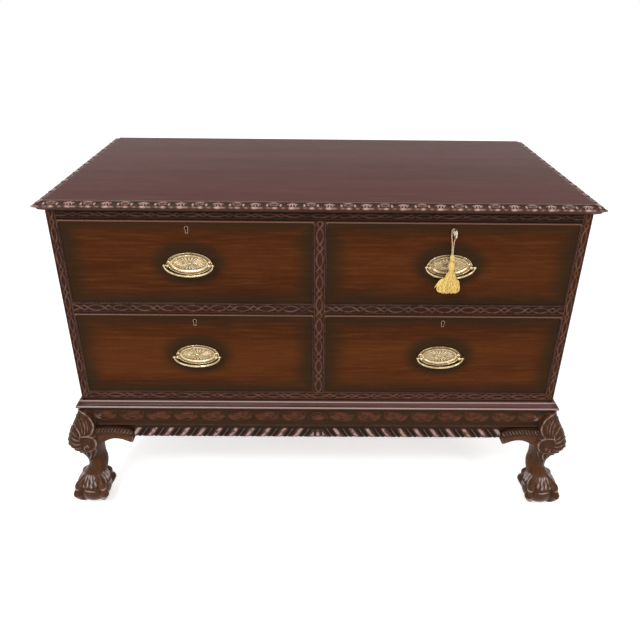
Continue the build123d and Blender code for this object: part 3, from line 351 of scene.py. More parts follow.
def polished(name, along, tones, roughness, specular, pores=0.5, shade=None):
    """French-polished wood; shade(shader, colour) may darken or light it by place."""
    shader = Shader(name)
    colour, pore_map = grain(shader, along, tones, pores)
    if shade:
        colour = shade(shader, colour)
    wear = shader.noise(3.0, 2.2)
    rough = shader.spread(wear, 0.3, 0.75, roughness * 0.75, roughness * 1.3)
    bump = (shader.math("MULTIPLY", pore_map, -1.0), 0.00012, 0.35)
    return shader.finish(colour, rough, bump, Specular_IOR_Level=specular)


def carved(name, along, tones, shares, specular, roughness=0.24, crest_from=0.6, wear_and_glint_noise=(0.3, 0.65)):
    """Carved wood: dark wax and painted shade in the ground, and rubbed wear and painted highlights on the
    crests.

    tones are the wood's dark, middle and light, the crests' and the ground's; shares are how far the last two
    cover the wood; crest_from is the relief where crests start, and rubbing the noise over which they fade.
    """
    *wood, crest, ground = tones
    crest_share, ground_share = shares
    shader = Shader(name)
    colour, _ = grain(shader, along, wood, 0.3)
    # Painted highlights and wear: the pale crest colour goes on the high relief, broken up by noise.
    wear_and_glint_patches = shader.spread(shader.noise(30.0, 3.0), *wear_and_glint_noise)
    worn_and_glinting = shader.math("MULTIPLY", shader.spread(shader.relief, crest_from, 1.0), wear_and_glint_patches)
    # Painted shade and dark wax: the ground colour goes on the low relief.
    sunk = shader.spread(shader.relief, 0.0, 0.5, 1.0, 0.0)
    colour = shader.mix(shader.math("MULTIPLY", sunk, ground_share), colour, ground)
    colour = shader.mix(shader.math("MULTIPLY", worn_and_glinting, crest_share), colour, crest)
    rough = shader.spread(shader.relief, 0.1, 0.9, roughness * 2.2, roughness)
    chisel = shader.noise(90.0, 3.5, 3.0)
    return shader.finish(colour, rough, (chisel, 0.0004, 0.5), Specular_IOR_Level=specular)


def bare_wood(name, along, tones):
    shader = Shader(name)
    colour, pore_map = grain(shader, along, tones, 0.6)
    grime = shader.spread(shader.noise(4.0, 2.5, 5.0, 0.65), 0.5, 0.8, 0.0, 0.55)
    colour = shader.mix(grime, colour, [c * 0.4 for c in tones[0]])
    return shader.finish(colour, 0.62, (pore_map, 0.0003, 0.5), Specular_IOR_Level=0.3)


def metal(name, base, dull, shine, smoothest, roughest, in_hollows=0.0):
    """Old metal: bright where rubbed, brown in the hollows of its relief, faint scratches."""
    shader = Shader(name)
    patches = shader.noise(60.0, 2.0, 5.0, 0.6)
    colour = shader.mix(shader.spread(patches, 0.35, 0.7), base, shine)
    hollow = shader.spread(shader.relief, 0.2, 0.95, in_hollows, 0.0)
    spots = shader.spread(shader.noise(220.0, 2.0, 3.0), 0.62, 0.78, 0.0, 0.3)
    colour = shader.mix(shader.math("MAXIMUM", hollow, spots), colour, dull)
    rough = shader.spread(patches, 0.3, 0.75, roughest, smoothest)
    scratches = shader.noise((900.0, 300.0, 90.0), 2.0, 2.0, turn=(0.2, 0.5, 0.3))
    return shader.finish(colour, rough, (scratches, 0.00004, 0.15), Metallic=1.0)


RIB_PITCH_M, WAVES_PER_UNIT = 0.0016, 20


def silk(name, base, shadow, shine):
    """Twisted silky yarn, with ribs that wind round it."""
    shader = Shader(name)
    inputs = {"Vector": shader.place, "Scale": tau / RIB_PITCH_M / WAVES_PER_UNIT}
    inputs |= {"Distortion": 1.5, "Detail": 2.0}
    ribs = shader.node("TexWave", inputs, bands_direction="DIAGONAL").outputs["Fac"]
    fuzz = shader.noise(400.0, 2.0, 3.0)
    colour = shader.mix(shader.spread(ribs, 0.15, 0.75), shadow, base)
    colour = shader.mix(shader.spread(fuzz, 0.5, 0.75, 0.0, 0.45), colour, shine)
    colour = shader.mix(shader.spread(shader.relief, 0.05, 0.9, 0.9, 0.0), colour, shadow)
    return shader.finish(colour, 0.48, (ribs, 0.0002, 0.6), Sheen_Weight=0.15, Sheen_Roughness=0.4)


EDGE_SHADE, EDGE_FADE_X, EDGE_FADE_Z = (0.022, 0.014, 0.006), (62, 6), (48, 3)
HALO_HALF_SIZES, SHADE_SHARE = (78, 52), 0.78


def drawer_shading(middle_x, row):
    """Old stain left dark along the edges of a drawer front and in an oval round its handle."""

    def shade(shader, colour):
        x, _, z = shader.axes()
        cloud = shader.noise((2.0, 2.0, 5.0), 3.0, 4.0, 0.6, 0.4)
        sway = shader.math("MULTIPLY", shader.math("SUBTRACT", cloud, 0.5), 0.05)
        edges, squares = [], []
        for place, middle, half, fade, oval_half in (
            (x, middle_x, FRONT_HALF_X, EDGE_FADE_X, HALO_HALF_SIZES[0]),
            (z, HANDLE_Z[row], FRONT_HALF_Z[row], EDGE_FADE_Z, HALO_HALF_SIZES[1]),
        ):
            away = shader.math("ABSOLUTE", shader.math("SUBTRACT", place, middle * MM))
            fade_range = [(half - inset) * MM for inset in fade]
            edges.append(shader.spread(shader.math("ADD", away, sway), *fade_range))
            across_oval = shader.math("DIVIDE", away, oval_half * MM)
            squares.append(shader.math("MULTIPLY", across_oval, across_oval))
        reach = shader.math("SQRT", shader.math("ADD", *squares))
        halo = shader.spread(shader.math("ADD", reach, sway), 0.8, 1.3, 1.0, 0.0)
        dark = shader.math("MAXIMUM", shader.math("MAXIMUM", *edges), halo)
        return shader.mix(shader.math("MULTIPLY", dark, SHADE_SHARE), colour, EDGE_SHADE)

    return shade


LIT_BEAD = (0.17, 0.075, 0.05)


def lit_beads(shader, colour):
    """Painted highlight: beads over a drawer, where the light falls, are painted paler than those beside and
    under it.
    """
    up = shader.axes()[2]
    upper = shader.spread(up, 0.785, 0.792)
    lower = shader.math("MULTIPLY", shader.spread(up, 0.553, 0.559), shader.spread(up, 0.575, 0.58, 1.0, 0.0))
    return shader.mix(shader.math("MAXIMUM", upper, lower), colour, LIT_BEAD)


# Woods' tones are dark, middle and light.
RED_TONES = (0.052, 0.012, 0.003), (0.092, 0.024, 0.005), (0.130, 0.042, 0.010)
TOP_TONES = (0.080, 0.019, 0.014), (0.105, 0.029, 0.022), (0.135, 0.044, 0.034)
BEAD_TONES = (0.020, 0.009, 0.005), (0.045, 0.018, 0.011), (0.08, 0.035, 0.022)
OAK_TONES = (0.23, 0.13, 0.06), (0.36, 0.22, 0.11), (0.48, 0.32, 0.17)
PINE_TONES = (0.17, 0.09, 0.04), (0.27, 0.15, 0.07), (0.36, 0.22, 0.11)
TOP_WOOD = polished("top_wood", "x", TOP_TONES, 0.16, 0.012, 0.35)
SIDE_WOOD = polished("side_wood", "z", RED_TONES, 0.28, 0.08)
BEAD_WOOD = polished("bead_wood", "x", BEAD_TONES, 0.22, 0.12, shade=lit_beads)
OAK = bare_wood("oak_wood", "y", OAK_TONES)
PINE = bare_wood("pine_wood", "x", PINE_TONES)

# Carved woods' tones also have the crests' colour (wear, painted highlight) and the ground's (wax, painted
# shade).
GROUND = (0.014, 0.008, 0.005)
LEG_TONES = (0.046, 0.016, 0.006), (0.088, 0.031, 0.011), (0.165, 0.064, 0.020)
# The knee's crest and ground colours are greyer than the others', as a painted sheen of reflected light.
KNEE_TONES = *LEG_TONES, (0.36, 0.285, 0.245), (0.030, 0.021, 0.017)
FOOT_TONES = *LEG_TONES, (0.55, 0.45, 0.42), GROUND
EAR_TONES = *LEG_TONES, (0.34, 0.24, 0.20), GROUND
LOBE_TONES = *LEG_TONES, (0.42, 0.28, 0.24), GROUND
CARVED_TONES = (0.040, 0.014, 0.007), (0.075, 0.027, 0.013), (0.125, 0.048, 0.022)
EDGE_TONES = *CARVED_TONES, (0.48, 0.30, 0.26), (0.045, 0.018, 0.014)
FRET_TONES = *CARVED_TONES, (0.21, 0.100, 0.075), (0.026, 0.012, 0.008)
FRIEZE_TONES = *CARVED_TONES, (0.120, 0.038, 0.018), (0.030, 0.016, 0.007)
DIM_TONES = (0.020, 0.008, 0.005), (0.036, 0.015, 0.009), (0.06, 0.025, 0.014), (0.12, 0.055, 0.04), GROUND
ARRIS_TONES = (0.055, 0.022, 0.016), (0.10, 0.044, 0.038), (0.14, 0.070, 0.065), (0.42, 0.28, 0.25), GROUND
LEG_WOOD = carved("leg_wood", "z", KNEE_TONES, (0.8, 0.95), 0.07)
FOOT_WOOD = carved("foot_wood", "z", FOOT_TONES, (0.8, 0.9), 0.12, 0.16, 0.62, (0.2, 0.5))
EAR_WOOD = carved("ear_wood", "x", EAR_TONES, (0.6, 0.75), 0.14, 0.2, 0.75)
LOBED_WOOD = carved("lobed_wood", "x", LOBE_TONES, (0.9, 0.9), 0.14, 0.2, 0.6, (0.3, 0.6))
EDGE_WOOD = carved("edge_wood", "x", EDGE_TONES, (0.95, 0.9), 0.14, 0.2, 0.45, (0.1, 0.5))
FRET_X = carved("fret_wood_along", "x", FRET_TONES, (0.65, 0.85), 0.07, 0.3)
FRET_SHADED = carved("fret_wood_shaded", "x", DIM_TONES, (0.6, 0.8), 0.05, 0.3)
FRET_Z = carved("fret_wood_upright", "z", FRET_TONES, (0.6, 0.7), 0.08, 0.3)
FRIEZE_X = carved("frieze_wood_along", "x", FRIEZE_TONES, (0.9, 0.7), 0.08, 0.3, 0.2)
FRIEZE_Y = carved("frieze_wood_side", "y", FRIEZE_TONES, (0.9, 0.7), 0.08, 0.3, 0.2)
MOULDED = carved("moulding_wood", "x", ARRIS_TONES, (0.95, 0.7), 0.2, 0.16, 0.55, (0.0, 0.2))

# Metals' colours are the base, the dull one and the rubbed one.
BRASS = metal("brass", (0.50, 0.36, 0.18), (0.07, 0.042, 0.016), (0.80, 0.67, 0.44), 0.26, 0.38, 0.9)
LOCK_BRASS = metal("lock_brass", (0.22, 0.13, 0.08), (0.08, 0.045, 0.025), (0.32, 0.21, 0.14), 0.35, 0.5)
STEEL = metal("steel", (0.30, 0.28, 0.25), (0.12, 0.09, 0.06), (0.45, 0.43, 0.39), 0.25, 0.45)
KEY_METAL = metal("key_metal", (0.58, 0.50, 0.38), (0.22, 0.16, 0.10), (0.80, 0.74, 0.62), 0.22, 0.4)
GOLD_SILK = silk("gold_silk", (1.0, 0.79, 0.25), (0.55, 0.33, 0.05), (1.0, 0.94, 0.55))
CREAM_SILK = silk("cream_silk", (0.84, 0.70, 0.50), (0.46, 0.33, 0.19), (0.97, 0.88, 0.70))


# ---------------------------------------------------------------- CAD nodes that keep their own mesh
def wear(material, *nodes):
    for node in nodes:
        materials = frame["nodes"][node].data.materials
        materials.clear()
        materials.append(material)


wear(SIDE_WOOD, "case_left_side", "case_right_side")
wear(PINE, "case_bottom", "centre_partition", "dust_boards", "drawer_kickers", "drawer_stops")
wear(PINE, "back_boards", "stand_back_rail", "stand_corner_blocks")
wear(KEY_METAL, "key")
for drawer, middle_x, row in DRAWERS:
    shading = drawer_shading(middle_x, row)
    front_wood = polished(f"{drawer}_front_wood", "x", RED_TONES, 0.3, 0.035, 0.45, shading)
    wear(front_wood, f"{drawer}_drawer_front")
    wear(OAK, f"{drawer}_drawer_box", f"{drawer}_drawer_bottom")
    wear(BEAD_WOOD, f"{drawer}_cockbead")
    wear(STEEL, f"{drawer}_lock_bolt")
    wear(LOCK_BRASS, f"{drawer}_lock")

# ---------------------------------------------------------------- floor and light
FLOOR_GLOW, FLOOR_HALF_M, WORLD_LEVEL, WHITE = 0.6, 12.0, 0.62, (1.0, 1.0, 1.0)
floor_shader = Shader("floor")
glow = floor_shader.math("MULTIPLY", floor_shader.seen_ray(), FLOOR_GLOW)
emission = {"Emission_Color": WHITE, "Emission_Strength": glow}
FLOOR = floor_shader.finish((0.93, 0.93, 0.93), 0.9, Specular_IOR_Level=0.0, **emission)
near, far = -FLOOR_HALF_M, FLOOR_HALF_M
floor_mesh = bpy.data.meshes.new("floor")
floor_mesh.from_pydata([(near, near, 0), (far, near, 0), (far, far, 0), (near, far, 0)], [], [(0, 1, 2, 3)])
floor_mesh.materials.append(FLOOR)
linked("floor", floor_mesh)

world = bpy.data.worlds.new("studio")
bpy.context.scene.world = world
world.use_nodes = True
sky = Nodes(world.node_tree)
background = sky.tree.nodes["Background"].inputs
sky.set(background["Color"], WHITE)
strength = sky.node("Mix", {0: sky.seen_ray(), 2: WORLD_LEVEL, 3: 1.0}, data_type="FLOAT")
sky.set(background["Strength"], strength.outputs[0])


def lamp(name, at, toward, size, watts):
    data = bpy.data.lights.new(name, "AREA")
    data.shape = "RECTANGLE"
    data.size, data.size_y = size
    data.energy = watts
    item = linked(name, data)
    item.location = at
    item.rotation_euler = (Vector(toward) - Vector(at)).to_track_quat("-Z", "Y").to_euler()


lamp("key_lamp", (-1.3, -2.2, 2.7), (0, 0, 0.5), (0.8, 0.7), 36)
lamp("fill_lamp", (2.2, -2.2, 1.9), (0, 0, 0.5), (0.7, 0.8), 12)
for number, at in enumerate(((-0.8, -2.6, 2.9), (0.9, -2.5, 2.9), (0.1, -3.2, 2.1))):
    lamp(f"small_lamp_{number}", at, (0, -0.3, 0.3), (0.2, 0.2), 5)
bpy.context.scene.view_settings.view_transform = "Standard"

# ---------------------------------------------------------------- key cord
# The cord's points, as in part.py: across, out from the drawer's face, and up from the key's axis
CORD_ROUTE = (
    (-1.3, 15.6, -52.0),
    (-1.3, 13.5, -40.0),
    (-1.8, 11.2, -27.0),
    (-4.4, 8.6, -12.0),
    (-4.4, 6.5, 4.4),
    (4.4, 6.5, 4.4),
    (4.4, 8.5, -12.5),
    (1.9, 11.0, -26.0),
    (1.3, 13.6, -39.5),
    (1.3, 15.6, -52.0),
)
CORD_LENGTH_MM, CORD_DIAMETER_MM = 119.8, 2.2
CORD_SAMPLES, CORD_PLIES, PLY_PITCH_MM, PLY_FULLNESS = 260, 3, 6.5, 1.04


def from_key(across, out, up):
    """Points from their place beside the key's axis, where it meets the drawer's face."""
    return xyz(DRAWER_X + across, FACE_Y - out, KEYHOLE_Z + up)


route_curve = bpy.data.curves.new("cord_route", "CURVE")
route_curve.dimensions = "3D"
route_curve.resolution_u = 24
spline = route_curve.splines.new("NURBS")
spline.points.add(len(CORD_ROUTE) - 1)
for point, at in zip(spline.points, CORD_ROUTE):
    point.co = (*(from_key(*at) * MM), 1.0)
spline.order_u = 3
spline.use_endpoint_u = True
route_object = bpy.data.objects.new("cord_route", route_curve)
line_mesh = bpy.data.meshes.new_from_object(route_object)
cord_line, travelled = respaced(np.array([v.co for v in line_mesh.vertices]) / MM, CORD_SAMPLES)
bpy.data.meshes.remove(line_mesh)
bpy.data.objects.remove(route_object)

tangents = directions(cord_line)
outward = np.cross(tangents, (0, -1, 0))
outward /= np.linalg.norm(outward, axis=1, keepdims=True)
beside = np.cross(tangents, outward)
plies = []
for ply in range(CORD_PLIES):
    wind = (travelled / PLY_PITCH_MM * tau + ply * tau / CORD_PLIES)[:, None]
    offset = outward * np.cos(wind) + beside * np.sin(wind)
    plies.append(tube(cord_line + offset * CORD_DIAMETER_MM / 4, CORD_DIAMETER_MM / 4 * PLY_FULLNESS, 8))
cord = piece("key_cord_plies", plies, CREAM_SILK, "key_cord", "key_tassel")
tuple(from_key(*CORD_ROUTE[0]) * MM)

# ---------------------------------------------------------------- tassel
# Its rings: depth below the key's axis, centre out from the drawer's face, half width, half depth
TASSEL_HEAD = (
    (51.8, 15.6, 1.4, 1.4),
    (53, 15.9, 2.8, 2.8),
    (56, 16.4, 4.8, 4.4),
    (59, 16.9, 5.3, 4.8),
    (62, 17.4, 4.7, 4.4),
    (65.5, 18.0, 3.3, 3.2),
    (68, 18.5, 3.4, 3.3),
    (71, 19.0, 5.6, 5.0),
    (75, 19.7, 7.1, 6.2),
    (79, 20.4, 7.5, 6.6),
    (83, 21.1, 7.0, 6.3),
    (86.5, 21.7, 5.6, 5.2),
    (89, 22.2, 4.2, 4.2),
    (91, 22.5, 4.6, 4.4),
)
RUFF = (
    (88.5, 22.1, 4.2, 4.2),
    (92, 22.7, 6.8, 6.0),
    (96, 23.4, 9.2, 6.9),
    (102, 24.4, 11.8, 7.7),
    (108, 25.5, 14.0, 8.2),
    (111, 26.0, 14.4, 8.3),
)
SKIRT = (
    (102, 24.5, 7.0, 5.5),
    (106, 25.2, 11.5, 7.0),
    (109, 25.7, 17.0, 8.2),
    (112, 26.2, 21.0, 8.9),
    (117, 27.1, 24.0, 9.8),
    (122, 28.0, 25.2, 10.8),
    (129.5, 29.3, 25.6, 12.0),
    (135, 30.2, 23.6, 11.2),
    (138, 30.7, 19.5, 9.4),
    (139.4, 31.0, 14.0, 7.0),
)
# A fringe's rings, its count of yarns, share of the rings' size, their length and radius
YARN_LAYERS = (
    (RUFF, 26, 1.0, 21.5, 1.25),
    (RUFF, 26, 0.78, 20.0, 1.2),
    (SKIRT, 30, 1.0, 36.0, 1.5),
    (SKIRT, 34, 0.94, 35.0, 1.45),
    (SKIRT, 40, 0.86, 36.6, 1.45),
    (SKIRT, 34, 0.66, 37.0, 1.45),
    (SKIRT, 22, 0.4, 37.2, 1.45),
)
TASSEL_LEAN = 4.5
# Cords wound round the head: depth and radius
WINDINGS = (64.9, 3.5), (66.4, 3.3), (67.9, 3.5), (87.6, 5.0), (89.1, 4.4), (90.6, 4.8)
WINDING_RADIUS, STRAYS, STRAY_SAMPLES = 0.75, 7, 16


def yarn(table, turn, share, length, lean, phase, radius):
    """One strand of a fringe, wavy and a little out of line with its neighbours."""
    fall = np.linspace(0, 1, 26)
    depth = table[0][0] + fall * length
    out, wide, thick = looked_up(depth, table)
    angle = turn + lean * fall + 0.10 * np.sin(fall * 9 + phase)
    clumps = 1 + 0.06 * np.sin(turn * 3 + 0.7) + 0.05 * np.sin(turn * 7)
    spread = share * (1 + 0.07 * np.sin(fall * 13 + phase * 2) * fall) * clumps
    across = (wide * spread - radius) * np.cos(angle) - TASSEL_LEAN * smooth_step(90, 125, depth)
    line = from_key(across, out + (thick * spread - radius) * np.sin(angle), -depth)
    verts, faces, _ = tube(line, radius * (1 + 0.15 * np.sin(fall * 20 + phase)), 6)
    locks = 0.4 * np.sin(turn * 9 + 1.2) + 0.25 * sin(phase * 3.7)
    lit = share**3 * (0.45 + locks + 0.35 * smooth_step(0.12, 0.4, fall))
    return verts, faces, np.repeat(np.clip(lit + 0.1 * np.sin(fall * 12 + phase), 0, 1), 6)


tassel = []
for layer, (table, count, share, length, radius) in enumerate(YARN_LAYERS):
    for number in range(count):
        wobble = sin(number * 12.9 + layer * 4.1)
        turn = tau * (number + 0.35 * wobble) / count + layer * 0.05
        reach, fall = share * (1 - 0.05 * abs(wobble)), length * (0.96 + 0.04 * wobble)
        tassel.append(yarn(table, turn, reach, fall, 0.3 * wobble, number * 2.4 + layer, radius))
for number in range(STRAYS):
    shift, tip = number * 0.9, number - 128
    route = (-12, 26 + number, -106), (shift - 23, 28, -109), (shift - 31, 29, -120), (shift - 35, 29, tip)
    verts, faces, _ = tube(from_key(*bend(route, STRAY_SAMPLES).T), np.linspace(1.7, 0.8, STRAY_SAMPLES), 6)
    tassel.append((verts, faces, np.repeat(np.linspace(0.9, 0.4 + 0.08 * number, STRAY_SAMPLES), 6)))
turns = circle(72)
ribs = 1 - 0.055 * (0.5 + 0.5 * np.cos(turns * 18))
depths = np.linspace(TASSEL_HEAD[0][0], TASSEL_HEAD[-1][0], 60)[:, None]
out, wide, thick = looked_up(depths, TASSEL_HEAD)
head = from_key(wide * ribs * np.cos(turns), out + thick * ribs * np.sin(turns), -depths)
net = 0.62 + 0.38 * np.cos(turns * 9 + depths * 0.9) * np.cos(turns * 9 - depths * 0.9)
tassel.append(loft(head[:, ::-1], net[:, ::-1]))
around = circle(8)[:, None]
for depth, radius in WINDINGS:
    centre = from_key(0, looked_up(depth, TASSEL_HEAD)[0], -depth)
    reach = radius + WINDING_RADIUS * np.cos(around)
    rings = xyz(np.cos(turns), -np.sin(turns), 0)[:, None] * reach
    rings[..., 2] += WINDING_RADIUS * np.sin(around[:, 0])
    tassel.append(loft(centre + rings, closed_along=True))
piece("key_tassel_yarns", tassel, GOLD_SILK, "key_tassel", "key_tassel")

# ---------------------------------------------------------------- brass
# The oval plate, from its middle outwards: share of the way, half width, half height, height out, how rubbed
PLATE_STAGES = (
    (0.0, 0.0, 0.0, 3.9, 1.0),
    (0.06, 3.6, 1.5, 3.7, 1.0),
    (0.09, 5.4, 2.3, 2.6, 0.3),
    (0.12, 7.3, 3.0, 2.4, 0.6),
    (0.30, 18.1, 7.5, 2.9, 0.7),
    (0.50, 30.2, 12.5, 2.5, 0.7),
    (0.60, 36.3, 15.0, 1.9, 0.6),
    (0.63, 37.9, 16.2, 1.9, 0.45),
    (0.66, 39.0, 17.4, 2.6, 0.8),
    (0.71, 40.5, 19.0, 3.7, 1.0),
    (0.76, 42.0, 20.5, 4.3, 1.0),
    (0.79, 42.8, 21.3, 4.1, 1.0),
    (0.805, 43.2, 21.7, 2.4, 0.35),
    (0.83, 44.0, 22.3, 1.2, 0.3),
    (0.86, 45.4, 23.2, 1.1, 0.5),
    (0.92, 47.9, 24.9, 1.4, 0.5),
    (0.94, 48.6, 25.4, 2.6, 0.8),
    (0.965, 49.6, 26.1, 3.4, 1.0),
    (0.985, 50.4, 26.6, 3.0, 0.95),
    (1.0, 51.0, 27.0, 1.6, 0.5),
)
PETALS, FAN_START, FAN_END = 26, (0.12, 0.2), (0.57, 0.62)
POST_X, PIVOT_OUT, BAIL_END_X, BAIL_DROP = 46.5, 14.0, 55.0, 26.5
POST_PROFILE = (
    (1.2, 5.6), (2.2, 5.8), (3.0, 5.0), (3.4, 4.0), (4.6, 3.4),
    (6.0, 3.0), (8.5, 2.7), (9.6, 3.4), (10.4, 3.6),
)
NUT_PROFILE = (-20, 5.6), (-20.6, 6.0), (-23.6, 6.0), (-24, 5.4)
POST_KNOB, BAIL_KNOB, BAIL_TIP, PIN_RADIUS, PIN_LENGTH = 4.15, 3.25, 1.4, 1.78, 12.3
BAIL_RUBBED = 0.75


def plate(middle_x, middle_z):
    turns = circle(336)
    shares = np.concatenate((np.linspace(0.012, 0.62, 56), np.linspace(0.625, 1.0, 60)))[:, None]
    half_x, half_z, height, rubbed = looked_up(shares, PLATE_STAGES)
    fan = smooth_step(*FAN_START, shares) * (1 - smooth_step(*FAN_END, shares))
    petal = np.abs(np.sin(turns * PETALS / 2)) ** 0.7
    height = height + fan * (petal - 0.7)
    rubbed = rubbed + fan * (0.95 * petal - 0.75)
    x, z = middle_x + half_x * np.cos(turns), middle_z + half_z * np.sin(turns)
    sections = np.concatenate((xyz(x, FACE_Y - height, z), xyz(x[-1], FACE_Y, z[-1])[None]))
    return loft(sections, np.pad(np.clip(rubbed, 0, 1), ((0, 1), (0, 0)), constant_values=0.2))


def turned(axis_x, axis_z, profile, points=28):
    """A round part whose axis runs out from the drawer face: pairs of distance out and radius."""
    out, radius = np.array(profile).T[:, :, None]
    turns = circle(points)
    return loft(xyz(axis_x + radius * np.cos(turns), FACE_Y - out, axis_z + radius * np.sin(turns)), 0.8)


def knob(centre, radius):
    """A ball, its poles on the X axis."""
    latitude = np.linspace(0.12, pi - 0.12, 20)[:, None]
    turns, ring = circle(20), radius * np.sin(latitude)
    return loft(centre + xyz(-radius * np.cos(latitude), ring * np.cos(turns), ring * np.sin(turns)), 0.9)


for drawer, middle_x, row in DRAWERS:
    middle_z = HANDLE_Z[row]
    parts = [plate(middle_x, middle_z)]
    for side in SIDES.values():
        post_x = middle_x + side * POST_X
        parts.append(turned(post_x, middle_z, POST_PROFILE))
        parts.append(knob((post_x, FACE_Y - PIVOT_OUT, middle_z), POST_KNOB))
        parts.append(turned(post_x, middle_z, NUT_PROFILE, 6))
    piece(f"{drawer}_plate", parts, BRASS, f"{drawer}_handle_plate", f"{drawer}_drawer")

    sweep, span = np.linspace(pi, tau, 120), np.linspace(-1, 1, 120)
    pivot_y = FACE_Y - PIVOT_OUT
    line = xyz(middle_x + BAIL_END_X * np.cos(sweep), pivot_y, middle_z + BAIL_DROP * np.sin(sweep))
    parts = [tube(line, 1.75 + 0.85 * np.cos(span * pi / 2) ** 0.8, 14)]
    for side in SIDES.values():
        end = np.array((middle_x + side * BAIL_END_X, pivot_y, middle_z))
        parts.append(knob(end, BAIL_KNOB))
        parts.append(knob(end + (side * 2.5, 0, 0), BAIL_TIP))
        parts.append(tube(np.linspace(end, end - (side * PIN_LENGTH, 0, 0), 4), PIN_RADIUS, 12))
    parts = [(verts, faces, np.full(len(verts), BAIL_RUBBED)) for verts, faces, _ in parts]
    piece(f"{drawer}_bail_rod", parts, BRASS, f"{drawer}_bail", f"{drawer}_bail")

# ---------------------------------------------------------------- blind fret on stiles and rails
FRET_LENS, FRET_LOZENGE = 37.0, 20.0
FRET_DEPTH, STRAND_HALF, BORDER, STRAND_GAP = 1.7, 2.0, 1.6, 1.2
SHADOW_GAP, FRET_STEP = 3.4, 0.9
BOLT_HALF_WIDTH, MORTISE_HEIGHT, FRET_BOARD = 12.6, 12.0, 14.0


def fret_wave(along, reach):
    """Centre of one of the two strands that cross along the fret, and the place within its pattern."""
    at = np.mod(along, FRET_LENS + FRET_LOZENGE)
    lens = np.abs(np.sin(np.clip(at, 0, FRET_LENS) / FRET_LENS * pi)) ** 0.62
    lozenge = 1 - np.abs(2 * (at - FRET_LENS) / FRET_LOZENGE - 1)
    return np.where(at < FRET_LENS, lens, -lozenge * 0.92) * reach, at


def fret(along, across, half_width):
    """How deep the ground lies below the strands and fillets, and the relief, over a band's face."""
    reach = half_width - BORDER - STRAND_HALF - STRAND_GAP
    wave, at = fret_wave(along, reach)
    slope = (fret_wave(along + 0.5, reach)[0] - wave) / 0.5
    lean = 1 / np.sqrt(1 + np.minimum(slope * slope, 9))
    heights = []
    for sign in (1, -1):
        gap = np.abs(across - sign * wave) * lean / STRAND_HALF
        groove = 0.22 * (1 - smooth_step(0.0, 0.3, gap))
        heights.append((1 - smooth_step(0.72, 1.18, gap)) * (1 - groove))
    near_crossing = np.minimum(at, FRET_LENS + FRET_LOZENGE - at) < 7
    over, under = np.where(near_crossing, heights, heights[::-1])
    strands = np.maximum(over, under * (1 - 0.35 * over) * 0.86)
    fillet = smooth_step(half_width - BORDER - 0.35, half_width - BORDER + 0.25, np.abs(across))
    height = np.maximum(strands, fillet)
    return (1 - height) * FRET_DEPTH, height


def fret_board(xs, zs, thickness, carving):
    return carved_board(front_place, xs, zs, CASE_HALF_DEPTH, thickness, carving, FRET_STEP, True)


def rail(xs, zs, thickness=RAIL_THICKNESS, pattern_zs=None):
    """A carved board that lies along a rail; a dark gap runs along its pattern's lower edge."""
    low, high = pattern_zs or zs
    middle, half = (low + SHADOW_GAP + high) / 2, (high - low - SHADOW_GAP) / 2
    centre = sum(xs) / 2

    def carving(along, up):
        sunk, height = fret(np.abs(along - centre) + FRET_LENS / 2, up - middle, half)
        gap = 1 - smooth_step(SHADOW_GAP, SHADOW_GAP + 0.5, up - low)
        return np.maximum(sunk, 2 * gap), height * (1 - gap)

    return fret_board(xs, zs, thickness, carving)


def stile(xs, zs):
    middle, half = sum(xs) / 2, (xs[1] - xs[0]) / 2
    return fret_board(xs, zs, RAIL_THICKNESS, lambda along, up: fret(up, along - middle, half))


def rail_back(xs, zs):
    """The rail behind its carved board, with mortises for the lock bolts below."""
    ys = (FRET_BOARD - CASE_HALF_DEPTH, RAIL_THICKNESS - CASE_HALF_DEPTH)
    edges, boxes = list(xs), []
    for middle in (-DRAWER_X, DRAWER_X):
        if xs[0] < middle < xs[1]:
            mortise = (middle - BOLT_HALF_WIDTH, middle + BOLT_HALF_WIDTH)
            edges += mortise
            boxes.append(plain_box(mortise, ys, (zs[0] + MORTISE_HEIGHT, zs[1])))
    edges.sort()
    return boxes + [plain_box(solid, ys, zs) for solid in zip(edges[::2], edges[1::2])]


TOP_RAIL_Z, UPPER_OPENING_Z, MIDDLE_RAIL_Z, LOWER_OPENING_Z = 795.0, 589.5, 562.5, 340.5
OPENING_INNER, OPENING_OUTER, BASE_FRET_Z = 12.5, 580.0, (317.0, 340.5)
rail_xs = (-OPENING_OUTER, OPENING_OUTER)
top_zs, middle_zs = (TOP_RAIL_Z, CASE_TOP_Z), (MIDDLE_RAIL_Z, UPPER_OPENING_Z)
half_xs = (-OPENING_OUTER, -OPENING_INNER), (OPENING_INNER, OPENING_OUTER)
stile_xs = (-CASE_HALF_WIDTH, -OPENING_OUTER), (OPENING_OUTER, CASE_HALF_WIDTH)
parts = [rail(rail_xs, top_zs, FRET_BOARD), *rail_back(rail_xs, top_zs)]
piece("top_rail_fret", parts, FRET_SHADED, "top_rail")
parts = [rail(xs, middle_zs, FRET_BOARD) for xs in half_xs]
parts += [box for xs in half_xs for box in rail_back(xs, middle_zs)]
piece("middle_rail_fret", parts, FRET_X, "middle_rails")
parts = [rail(rail_xs, (STAND_TOP_Z, LOWER_OPENING_Z), pattern_zs=BASE_FRET_Z)]
piece("bottom_rail_fret", parts, FRET_X, "bottom_rail")
parts = [stile((-OPENING_INNER, OPENING_INNER), (LOWER_OPENING_Z, TOP_RAIL_Z))]
piece("centre_stile_fret", parts, FRET_Z, "centre_stile")
parts = [stile(xs, (STAND_TOP_Z, CASE_TOP_Z)) for xs in stile_xs]
piece("outer_stile_fret", parts, FRET_Z, "outer_stiles")

